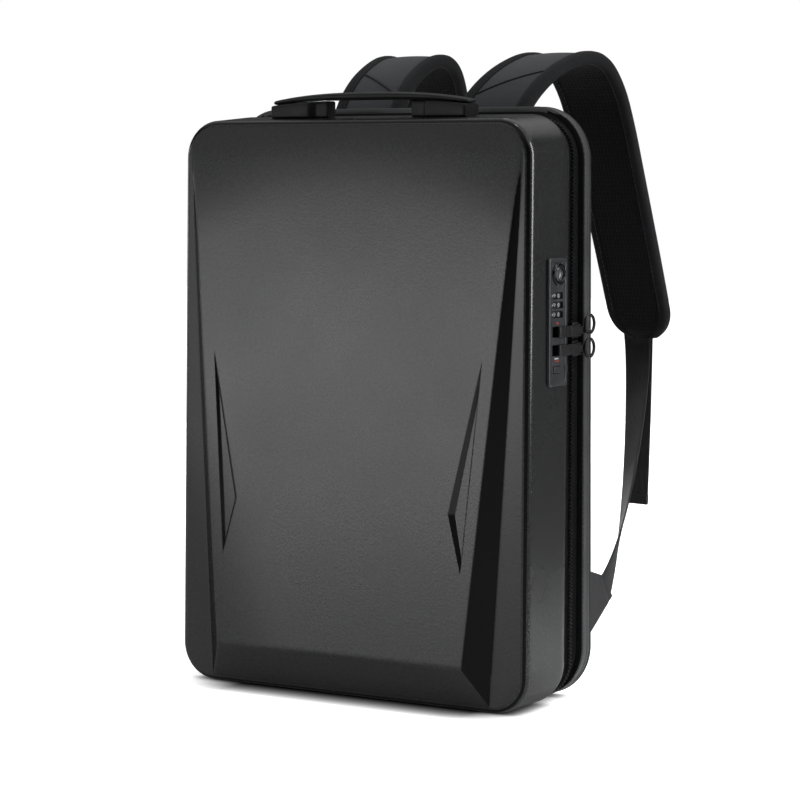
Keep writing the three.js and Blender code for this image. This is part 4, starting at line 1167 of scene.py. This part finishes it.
class BACKPACK_OT_zip(bpy.types.Operator):
    """Make the zip's tapes, teeth and rings, and finish its sliders and pulls"""

    bl_idname = "backpack.zip"
    bl_label = "Zip"

    def execute(self, context):
        tape = webbing_finish("zip_tape", colours().tape, 0.0, 0.12)
        flush = SHELL.wall + GAP + SHELL.flare * ZIP.overlap / SHELL.depth
        front = [at_mouth(flush, lambda z: mouth_y(z) - ZIP.overlap), at_mouth(flush, mouth_y),
                 at_mouth(ZIP.sunk, lambda z: coil_y(z) - ZIP.flat),
                 at_mouth(ZIP.sunk, lambda z: coil_y(z) - GAP / 2)]
        rear = [at_mouth(ZIP.sunk, lambda z: coil_y(z) + GAP / 2), at_mouth(ZIP.sunk, lambda z: coil_y(z) + ZIP.flat),
                at_rim(ZIP.seat, lambda z: RIM.front - GAP + 0 * z)]
        piece("zip_cloth_front", tape_skin(front), [tape], replaces=["zip_tape_front"])
        piece("zip_cloth_rear", tape_skin(rear), [tape], replaces=["zip_tape_rear"])
        teeth = satin_finish("zip_nylon", colours().teeth, 0.4, specular=0.2)
        piece("zip_teeth", zip_teeth_skin(), [teeth], replaces=["zip_coil"])
        metal = metal_finish("zip_enamel", colours().zip_metal, 0.42, 0.3)
        for n, word in enumerate(("upper", "lower")):
            soften(f"zip_slider_{word}", metal, 0.6)
            soften(f"zip_pull_{word}", metal, 0.5)
            piece(f"pull_tip_{word}", pull_tip_skin(n), [metal])
            piece(f"pull_wire_{word}", ring_skin(n), [metal], replaces=[f"pull_ring_{word}"])
        return {"FINISHED"}


# Rim

# Pipings and grooves of the rim: how deep each lies, its place along the section and its width

RIM_RELIEF = ((-1.3, 0.075, 0.055), (1.15, 0.20, 0.028), (0.7, 0.6, 0.025), (0.85, 0.84, 0.028), (-0.9, 0.93, 0.05))


def rim_skin():
    """The padded rim: its section runs from a front piping over a groove and a flat roll to a rear piping, the front
    piping painted near black on the sides as shade.

    Along is the share of the way from front to rear, and inset is how far the cloth lies inside the outline."""
    samples = loop_samples(24, 60, 44)
    a = np.linspace(0, 1, 57)
    roll = 0.5 * np.abs(2 * a - 1) ** 2 + 2.2 * np.clip(np.abs(2 * a - 1) - 0.82, 0, 1) / 0.18
    relief = sum(deep * np.exp(-((a - place) / wide) ** 2) for deep, place, wide in RIM_RELIEF)
    inset = np.clip(0.35 + roll + relief, 0, None)
    rings = [(RIM.thick, 0.0)] + list(zip(inset, a)) + [(RIM.thick, 1.0)]
    lines = [rim_line(samples, i, lambda z, t=t: lerp(RIM.front, rear_y(z), t)) for i, t in rings]
    skin = Skin()
    out = outward(samples)
    # Painted shade: on the sides, the front of the section takes the near-black tape finish, for the shade in the
    # zip's groove.
    sunk = np.array([t for _, t in rings])[:, None] < 0.12 * ease(np.abs(out[:, 0]), 0.3, 0.97)
    skin.grid(np.stack(lines), True, True, False, 2 * sunk)
    pitch = sizes().stitch / MM
    for t, i in ((0.265, 0.42), (0.775, 0.5)):
        line = rim_line(samples, i, lambda z, t=t: lerp(RIM.front, rear_y(z), t))
        skin.stitches(closed(line), closed(out), pitch, 1, 0.32)
    return skin


class BACKPACK_OT_rim(bpy.types.Operator):
    """Make the padded cloth rim with its pipings and stitches"""

    bl_idname = "backpack.rim"
    bl_label = "Rim"

    def execute(self, context):
        thread = thread_finish("rim_thread", colours().thread)
        # Near-black tape finish for the front of the rim's sides: painted shade of the zip's groove.
        tape = webbing_finish("rim_groove_shade", colours().tape, 0.0, 0.12)
        rim = piece("rim_cloth", rim_skin(), [coated_finish(), thread, tape], replaces=["back_rim"], sharp=70)
        return {"FINISHED"}


# Back pad

def back_pad_skin():
    """The back pad: a rear face on a grid, a rounded shoulder down to its seam, and a flat front face.

    Lines of the shoulder lie on the pad's outline drawn in by their inset, out of the rim's rear by their height."""
    low, high = RIM.bottom + RIM.corner, RIM.top - RIM.corner
    inset = BACK.inset + BACK.shoulder
    z, cut, ends = rounded_rows(low, high, RIM.corner - inset, np.linspace(low, high, 66)[1:-1])
    x = (RIM.half - inset - cut)[:, None] * np.linspace(-1, 1, 57)
    z = np.broadcast_to(z[:, None], x.shape)
    seat = np.stack([x, rear_y(z) + GAP, z], -1)
    rear = seat + np.array([0, BACK.start, 0])
    loop, samples = border(rear, ends, RIM.half - RIM.corner)
    shoulder = [(3.4, 5.8), (1.2, 4.5), (0.0, 2.8), (0.0, 1.5), (0.2, 0.7), (1.0, 0.0)]
    lines = [rim_line(samples, BACK.inset + i, lambda z, out=out: rear_y(z) + GAP + out) for i, out in shoulder]
    points, quads = box_skin(rear, np.stack(lines), seat, loop)
    return Skin().put(points, quads), np.arange(len(points)) >= x.size


class BACKPACK_OT_back_pad(bpy.types.Operator):
    """Make the padded mesh back and sew its edge"""

    bl_idname = "backpack.back_pad"
    bl_label = "Back pad"

    def execute(self, context):
        skin, held = back_pad_skin()
        x, _, z = skin.points[0].T
        crown = np.clip(1 - (x / RIM.half) ** 2, 0, 1) * np.clip(1 - (2 * z / RIM.top - 1) ** 2, 0, 1)
        pad = piece("back_pad", skin, [mesh_finish(True)], replaces=["back_panel"], sharp=80)
        swell(pad, held, lerp(2.2, BACK.swell, crown)[:, None], 4.0)
        samples = loop_samples(24, 60, 44)
        line = rim_line(samples, BACK.inset + 0.4, lambda z: rear_y(z) + GAP + 3.6)
        out = outward(samples) + np.array([0, 0.5, 0])
        seam = Skin().stitches(closed(line), closed(out), sizes().stitch / MM)
        piece("back_pad_stitches", seam, [thread_finish("back_thread", colours().thread)])
        return {"FINISHED"}


# Shoulder straps

def strap_frames(s):
    """Middle of the pad's inner face and the directions along and out, from the slope walked in small steps."""
    fine = np.arange(0, STRAP.length + 21, 1.0)
    slope = np.radians(np.interp(fine, STRAP_SLOPE[:, 0], STRAP_SLOPE[:, 1]))
    mid = np.radians(np.interp(fine[:-1] + 0.5, STRAP_SLOPE[:, 0], STRAP_SLOPE[:, 1]))
    root = rear_y(STRAP.z) + BACK.thick + 2 * GAP + STRAP.thick
    y = root + np.concatenate([[0], np.cumsum(np.cos(mid))])
    z = STRAP.z + np.concatenate([[0], np.cumsum(np.sin(mid))])
    a = np.interp(s, fine, slope)
    at = np.stack([STRAP.x + STRAP.spread * s, np.interp(s, fine, y), np.interp(s, fine, z)], -1)
    zero = 0 * a
    return at, np.stack([zero, np.cos(a), np.sin(a)], -1), np.stack([zero, -np.sin(a), np.cos(a)], -1)


def strap_half(s):
    """Half width of the pad, which narrows slowly and ends in a round."""
    past = np.clip(s - (STRAP.length - STRAP.end_round), 0, None) / STRAP.end_round
    return lerp(STRAP.half_top, STRAP.half_end, s / STRAP.length) * np.sqrt(1 - 0.8 * past ** 2)


# Half of the pad's section, from the middle of the outer cloth over the rolled edge to the middle of the mesh:
# share of the way to the binding's seam, distance in from the edge, height out of the inner face, and finish

PAD_FACE = np.array([0.0, 0.15, 0.3, 0.45, 0.6, 0.74, 0.86, 0.95, 0.99])
PAD_EDGE = np.array([[11.0, 9.2], [10.4, 10.0], [9.2, 10.9], [7.0, 11.4], [4.6, 11.4], [2.7, 11.0], [1.2, 10.0],
                     [0.4, 8.5], [0.05, 7.0], [0.05, 4.6], [0.4, 2.7], [1.2, 1.4], [2.7, 0.5], [4.6, 0.2],
                     [6.6, 0.3], [7.6, 0.8], [8.2, 1.6]])
PAD_MESH = np.array([0.98, 0.94, 0.85, 0.7, 0.5, 0.25, 0.0])


def pad_section(s):
    """Across and out at each station s of the pad: a crowned face, a rolled binding, and a flatter mesh face."""
    half = strap_half(s)[:, None]
    face = PAD_FACE[None] * (half - PAD.binding)
    rise = PAD.face + PAD.crown * (1 - PAD_FACE ** 2)[None] + 0 * half
    pucker = PAD.pucker * np.sin(2 * np.pi * s / PAD.pucker_pitch)[:, None] * ease(PAD_FACE, 0.7, 0.99)
    edge = half - np.minimum(PAD_EDGE[None, :, 0], half * 0.8)
    mesh = PAD_MESH[None] * (half - PAD.mesh)
    low = PAD.under - PAD.crown * (1 - PAD_MESH ** 2)[None] + 0 * half
    across = np.concatenate([face, edge, mesh], 1)
    out = np.concatenate([rise + pucker, PAD_EDGE[None, :, 1] + 0 * half, low], 1)
    thin = 1 - 0.55 * ease(s, STRAP.length - 9, STRAP.length) - 0.25 * (1 - ease(s, 0, 16))
    return across, PAD.middle + (out - PAD.middle) * thin[:, None]


def pad_points(side, s, across, out):
    """Places across-and-out pairs at stations along the strap."""
    at, _, normal = strap_frames(s)
    points = at[:, None] + out[..., None] * normal[:, None]
    points[..., 0] = side * (points[..., 0] + across)
    return points


def pad_skin(side):
    """A shoulder pad: the section carried along the strap, mirrored about its middle."""
    bend = STRAP.length - 32
    s = np.unique(np.concatenate([np.linspace(0, 16, 9), np.linspace(16, bend, 150),
                                  np.linspace(bend, STRAP.length, 22)]))
    across, out = pad_section(s)
    across = np.concatenate([across, -across[:, -2:0:-1]], 1)
    out = np.concatenate([out, out[:, -2:0:-1]], 1)
    faces, edges, meshes = len(PAD_FACE), len(PAD_EDGE), len(PAD_MESH)
    half = np.array([0] * (faces - 1) + [1] * (edges + 1) + [2] * (meshes - 1))
    finish = np.concatenate([half, half[::-1]])
    return Skin().grid(pad_points(side, s, across, out), finish=finish[None])


def pad_stitches(side):
    """Stitch lines beside the binding, on the outer cloth and on the mesh, and a near-black rod along the slanting
    seam, painted shade for the seam's valley.
    """
    skin = Skin()
    s = np.linspace(8, 398, 200)
    half = strap_half(s)
    normal = strap_frames(s)[2]
    for sign in (-1, 1):
        for inset, height, face in ((9.3, 10.55, 1), (7.0, 0.42, -1)):
            points = pad_points(side, s, (sign * (half - inset))[:, None], np.full((len(s), 1), height))[:, 0]
            skin.stitches(points, face * normal, sizes().stitch / MM, 0, 0.36)
    share = np.linspace(-1, 1, 60)
    s = lerp(SEAM.inner, SEAM.outer, (share + 1) / 2)
    across = share * (strap_half(s) - PAD.binding - 0.3)
    line = pad_points(side, s, across[:, None], (PAD.face + 0.2 + PAD.crown * (1 - share ** 2))[:, None])[:, 0]
    normal = strap_frames(s)[2] * np.array([side, 1, 1])
    way = unit(np.gradient(line, axis=0))
    flank = np.cross(normal, way)
    angle = np.linspace(0, 2 * np.pi, 10, endpoint=False)[None, :, None]
    rod = line[:, None] + SEAM.half * np.cos(angle) * flank[:, None] + SEAM.high * np.sin(angle) * normal[:, None]
    # The rod takes the near-black finish: painted shade in the seam.
    skin.grid(rod, finish=1)
    return skin


class BACKPACK_OT_straps(bpy.types.Operator):
    """Make the padded shoulder straps with their bindings and stitches"""

    bl_idname = "backpack.straps"
    bl_label = "Shoulder straps"

    def execute(self, context):
        cloth = woven_finish("strap_cloth", colours().cloth, sizes().weave, 0.15)
        binding = woven_finish("strap_binding", colours().binding, sizes().weave * 0.8, 0.03, 0.12)
        mesh = mesh_finish()
        thread = thread_finish("strap_thread", colours().thread)
        # Near-black finish for the rod in the slanting seam: painted shade.
        seam_shade = thread_finish("seam_painted_shade", colours().tape, 0.0)
        for side, word in SIDES:
            pad = piece(f"shoulder_pad_{word}", pad_skin(side), [cloth, binding, mesh],
                        replaces=[f"strap_{word}"], sharp=75)
            piece(f"shoulder_stitches_{word}", pad_stitches(side), [thread, seam_shade])
        return {"FINISHED"}


# Buckles, webbing and tabs

def buckle_point(along, out):
    """A point by the strap buckle: along the pad from its middle, and out from the pad's outer face."""
    at, way, normal = strap_frames(np.array([BUCKLE.s]))
    along, out = np.asarray(along, float)[..., None], np.asarray(out, float)[..., None]
    return at[0] + along * way[0] + (STRAP.thick + out) * normal[0] + np.array([BUCKLE.shift, 0, 0])


def webbing_path():
    """Middle line and width directions of the webbing: a free curve from the tab, a turn round the buckle, a tail."""
    high, low = np.array([0, *TAB.far_high]), np.array([0, *TAB.far_low])
    across = unit(low - high)
    away = np.array([0, -across[2], across[1]])
    root = np.array([TAB.x, 0, 0]) + (high + low) / 2 - WEB.sewn * away
    inner = GAP + WEB.thick / 2
    outer = BUCKLE.clear + BUCKLE.thick + GAP + 0.1 + WEB.thick / 2
    end = buckle_point(STRAP.length - BUCKLE.s + 6, inner)
    down = strap_frames(np.array([BUCKLE.s]))[1][0]
    t = np.linspace(0, 1, 90)[:, None]
    b, c = root + away * WEB.leave, end + down * WEB.arrive
    run = (1 - t) ** 3 * root + 3 * (1 - t) ** 2 * t * b + 3 * (1 - t) * t ** 2 * c + t ** 3 * end
    turn = np.pi / 2 * t ** 0.8
    left = np.array([-1.0, 0, 0])
    width = np.cos(turn) * across + np.sin(turn) * left
    bend = (outer - inner) / 2
    angle = np.linspace(0, np.pi, 17)
    under = np.linspace(22, 0, 9)[1:]
    over = np.linspace(1, BUCKLE.long / 2 + 2, 7)
    along = np.concatenate([under, -2.2 - bend * np.sin(angle), over])
    out = np.concatenate([0 * under + inner, inner + bend - bend * np.cos(angle), 0 * over + outer])
    flat = buckle_point(along, out)
    k = np.linspace(0, 1, 120)[1:, None]
    tail = flat[-1] + k * np.array([-WEB.drift, 0, WEB.tail_foot - flat[-1][2]])
    tail = tail + np.array([0, 4.0, 0]) * k * (1 - k)
    path = np.concatenate([run, flat, tail])
    return path, np.concatenate([width, np.broadcast_to(left, (len(path) - len(run), 3))])


WEB_SECTION = np.array([[-1, -0.2], [-0.985, -0.75], [-0.95, -1], [-0.6, -1], [-0.2, -1], [0.2, -1], [0.6, -1],
                        [0.95, -1], [0.985, -0.75], [1, -0.2], [1, 0.2], [0.985, 0.75], [0.95, 1], [0.6, 1],
                        [0.2, 1], [-0.2, 1], [-0.6, 1], [-0.95, 1], [-0.985, 0.75], [-1, 0.2]])


def webbing_skin(side):
    """The webbing: a flat section with turned edges carried along its path, its width held square to the path."""
    path, width = webbing_path()
    along = unit(np.gradient(path, axis=0))
    across = unit(width - along * np.sum(along * width, -1, keepdims=True))
    face = np.cross(along, across)
    w, n = WEB_SECTION[:, 0] * WEB.wide / 2, WEB_SECTION[:, 1] * WEB.thick / 2
    fold = 1 + 1.3 * ease(WEB.tail_foot + WEB.hem - path[:, 2], 0, 1)[:, None, None]
    fold[:len(path) // 2] = 1
    points = path[:, None] + w[None, :, None] * across[:, None] + fold * n[None, :, None] * face[:, None]
    points[..., 0] *= side
    skin = Skin().grid(points)
    spot = len(path) - 7
    hem = path[spot] + np.linspace(-0.44, 0.44, 12)[:, None] * WEB.wide * across[spot]
    for sign in (-1, 1):
        line = hem + sign * face[spot] * (WEB.thick / 2 + 0.05)
        line[:, 0] *= side
        skin.stitches(line, sign * face[spot] * np.array([side, 1, 1]), 2.6, 1, 0.34)
    return skin


def tab_skin(side):
    """A folded tab: its four-cornered outline blended between its seam and its far edge, edges rolled over."""
    corners = np.array([[rear_y(TAB.seam_low) + GAP, TAB.seam_low], TAB.far_low, TAB.far_high,
                        [rear_y(TAB.seam_high) + GAP, TAB.seam_high]])
    u = np.linspace(0, 1, 25)[:, None]
    low = lerp(corners[0], corners[1], u)
    high = lerp(corners[3], corners[2], u)
    cv, cx = superellipse(40, 9)
    middle, reach = (low + high) / 2, (high - low) / 2
    yz = middle[:, None] + cv[None, :, None] * reach[:, None]
    seam = 0.35 * np.exp(-((u - 0.88) / 0.04) ** 2)
    thick = TAB.thick / 2 * (1 - 0.12 * u) - seam
    x = TAB.x + thick * cx[None]
    skin = Skin().grid(np.stack([side * x, yz[..., 0], yz[..., 1]], -1))
    for share in (0.1, 0.78):
        line = lerp(lerp(corners[0], corners[1], share), lerp(corners[3], corners[2], share),
                    np.linspace(0.06, 0.94, 20)[:, None])
        for sign in (-1, 1):
            path = np.column_stack([np.full(20, side * (TAB.x + sign * TAB.thick / 2 * 0.95)), line])
            skin.stitches(path, np.array([side * sign, 0.0, 0]), 3.4, 1, 0.36)
    return skin


class BACKPACK_OT_adjusters(bpy.types.Operator):
    """Make the webbing and tabs, and finish the strap buckles"""

    bl_idname = "backpack.adjusters"
    bl_label = "Webbing and buckles"

    def execute(self, context):
        web = webbing_finish("strap_webbing", colours().webbing)
        tab = woven_finish("tab_cloth", colours().webbing, sizes().weave, 0.08)
        thread = thread_finish("web_thread", colours().thread)
        plastic = satin_finish("buckle_satin", colours().grip, 0.4)
        for side, word in SIDES:
            soften(f"strap_adjuster_{word}", plastic, 1.0, 3)
            piece(f"webbing_{word}", webbing_skin(side), [web, thread], replaces=[f"strap_webbing_{word}"])
            piece(f"tab_{word}", tab_skin(side), [tab, thread], replaces=[f"strap_tab_{word}"])
        return {"FINISHED"}


# Stage

def softbox(name, place, aim, size, power, spread=180):
    """An area light at a place, turned to face its aim, its beam narrowed to a spread in degrees."""
    light = bpy.data.lights.new(name, "AREA")
    light.shape = "RECTANGLE"
    light.size, light.size_y = size
    light.energy = power
    light.spread = math.radians(spread)
    obj = bpy.data.objects.new(name, light)
    obj.location = place
    obj.rotation_euler = (Vector(aim) - Vector(place)).to_track_quat("-Z", "Y").to_euler()
    obj.visible_camera = False
    bpy.context.scene.collection.objects.link(obj)


def around(azimuth, distance, height):
    """A place round the bag: azimuth 0 in front of it, 90 on its right."""
    a = math.radians(azimuth)
    return (distance * math.sin(a), -distance * math.cos(a), height)


class BACKPACK_OT_stage(bpy.types.Operator):
    """Set out the pale floor with its painted contact shadow and painted reflection tone, the soft light and the
    camera
    """

    bl_idname = "backpack.stage"
    bl_label = "Stage"

    def execute(self, context):
        scene, stage = context.scene, context.scene.backpack_stage
        scene.view_settings.view_transform = "Standard"
        world = bpy.data.worlds.new("studio")
        scene.world = world
        world.use_nodes = True
        nodes, links = world.node_tree.nodes, world.node_tree.links
        back = next(n for n in nodes if n.type == "BACKGROUND")
        back.inputs["Color"].default_value = (1, 1, 1, 1)
        ray = nodes.new("ShaderNodeLightPath")
        level = nodes.new("ShaderNodeMapRange")
        level.inputs["To Min"].default_value = stage.sky
        level.inputs["To Max"].default_value = 1.0
        links.new(ray.outputs["Is Camera Ray"], level.inputs["Value"])
        links.new(level.outputs[0], back.inputs["Strength"])

        half, lines = 6.0, 25
        floor = bpy.data.meshes.new("floor")
        x, y = np.meshgrid(np.linspace(-half, half, lines), np.linspace(-half, half, lines), indexing="xy")
        floor.from_pydata(np.stack([x, y, 0 * x - 0.0002], -1).reshape(-1, 3), [], grid_quads(lines, lines).tolist())
        f = Finish("floor_paper", colours().floor, 0.9, 0.1)
        # The camera sees the floor with a painted contact shadow, its glow cut by the same painted shadow; the bag's
        # reflections see a painted reflection tone of the floor.
        seen = f.node("LightPath", {}).outputs["Is Camera Ray"]
        behind = f.node("VectorMath", {0: f.where(), 1: (0.63, 0.78, 0.0)}, operation="DOT_PRODUCT").outputs["Value"]
        # Painted reflection: the floor as the bag mirrors it, dimmer further back on the right.
        mirrored = f.mix(f.span(behind, 0.25, 0.9, 0, 1), f.tint(stage.floor_gloss), f.tint(0.24 * stage.floor_gloss))
        # Painted contact shadow from ambient occlusion: close round the bag, and further out in front of it.
        near = f.node("AmbientOcclusion", {"Distance": 0.008}, samples=8).outputs["AO"]
        far = f.node("AmbientOcclusion", {"Distance": 0.034}, samples=16).outputs["AO"]
        spot = f.node("SeparateXYZ", {"Vector": f.where()}).outputs
        ahead = f.sum("MULTIPLY", f.span(spot["Y"], 0.0, -0.03, 0, 1), f.span(spot["X"], 0.17, 0.12, 0, 1))
        ahead = f.sum("MULTIPLY", ahead, f.span(spot["X"], -0.155, -0.105, 0.3, 1))
        painted_contact_shadow = f.sum("MULTIPLY", ahead, f.sum("SUBTRACT", 1.0, f.sum("POWER", far, 3.2)))
        outside_painted_shadow = f.sum("MULTIPLY", near, f.sum("SUBTRACT", 1.0, painted_contact_shadow))
        # Colour and glow seen by the camera, both cut by the painted contact shadow.
        f.paint(f.mix(seen, mirrored, f.mix(outside_painted_shadow, f.tint(0.0), f.tint(1.0))))
        glow = f.sum("MULTIPLY", outside_painted_shadow, stage.glow)
        f.fill(f.shader, {"Emission Color": (1, 1, 1, 1), "Emission Strength": f.sum("MULTIPLY", seen, glow)})
        f.relief(f.noise(f.where(), 0.02, 3), 0.0002, 0.1)
        floor.materials.append(f.material)
        obj = bpy.data.objects.new("floor", floor)
        scene.collection.objects.link(obj)

        sun = bpy.data.lights.new("overhead", "SUN")
        sun.energy = stage.top
        sun.angle = math.radians(120)
        lamp = bpy.data.objects.new("overhead", sun)
        lamp.location = (0, 0, 3)
        scene.collection.objects.link(lamp)
        softbox("front_box", around(-31, 4.0, 0.39), (0, 0, 0.3), (2.6, 0.78), stage.front)
        softbox("floor_pool", (0.38, 0.32, 1.3), (0.38, 0.32, 0), (0.35, 0.5), stage.pool, 30)
        softbox("strip", around(112, 1.9, 0.78), (0.16, 0, 0.3), (0.35, 1.3), stage.strip)
        softbox("left_fill", around(-122, 2.0, 0.3), (-0.16, 0, 0.2), (1.0, 0.6), stage.left)
        softbox("left_edge", around(-76, 2.2, 0.42), (-0.16, 0, 0.3), (0.3, 0.6), stage.left)
        softbox("rear_fill", around(212, 2.4, 0.2), (0, 0.1, 0.28), (0.8, 0.4), stage.rear, 60)

        camera = bpy.data.cameras.new("camera")
        camera.lens = stage.lens
        camera.sensor_width = 36
        eye = bpy.data.objects.new("camera", camera)
        eye.location = stage.place
        eye.rotation_euler = (Vector(stage.aim) - Vector(stage.place)).to_track_quat("-Z", "Y").to_euler()
        scene.collection.objects.link(eye)
        scene.camera = eye
        return {"FINISHED"}


class BACKPACK_PT_panel(bpy.types.Panel):
    """Lists the steps that build the backpack"""

    bl_idname = "BACKPACK_PT_panel"
    bl_label = "Backpack"
    bl_space_type = "VIEW_3D"
    bl_region_type = "UI"
    bl_category = "Backpack"

    def draw(self, context):
        for operator in OPERATORS:
            self.layout.operator(operator.bl_idname)
        for group in (context.scene.backpack_sizes, context.scene.backpack_colours, context.scene.backpack_stage):
            column = self.layout.column()
            for name in group.__annotations__:
                column.prop(group, name)


OPERATORS = (BACKPACK_OT_stage, BACKPACK_OT_shell, BACKPACK_OT_handle, BACKPACK_OT_lock, BACKPACK_OT_zip,
             BACKPACK_OT_rim, BACKPACK_OT_back_pad, BACKPACK_OT_straps, BACKPACK_OT_adjusters)
GROUPS = {"backpack_sizes": BackpackSizes, "backpack_colours": BackpackColours, "backpack_stage": BackpackStage}


def register():
    """Registers the classes and hangs the settings on the scene."""
    for group in (*GROUPS.values(), *OPERATORS, BACKPACK_PT_panel):
        bpy.utils.register_class(group)
    for name, group in GROUPS.items():
        setattr(bpy.types.Scene, name, bpy.props.PointerProperty(type=group))


def unregister():
    """Takes the settings and the classes away again."""
    for name in GROUPS:
        delattr(bpy.types.Scene, name)
    for group in reversed((*GROUPS.values(), *OPERATORS, BACKPACK_PT_panel)):
        bpy.utils.unregister_class(group)


def main():
    """Builds the backpack on its stage."""
    register()
    for step in ("stage", "shell", "handle", "lock", "zip", "rim", "back_pad", "straps", "adjusters"):
        getattr(bpy.ops.backpack, step)()


if __name__ == "__main__":
    main()
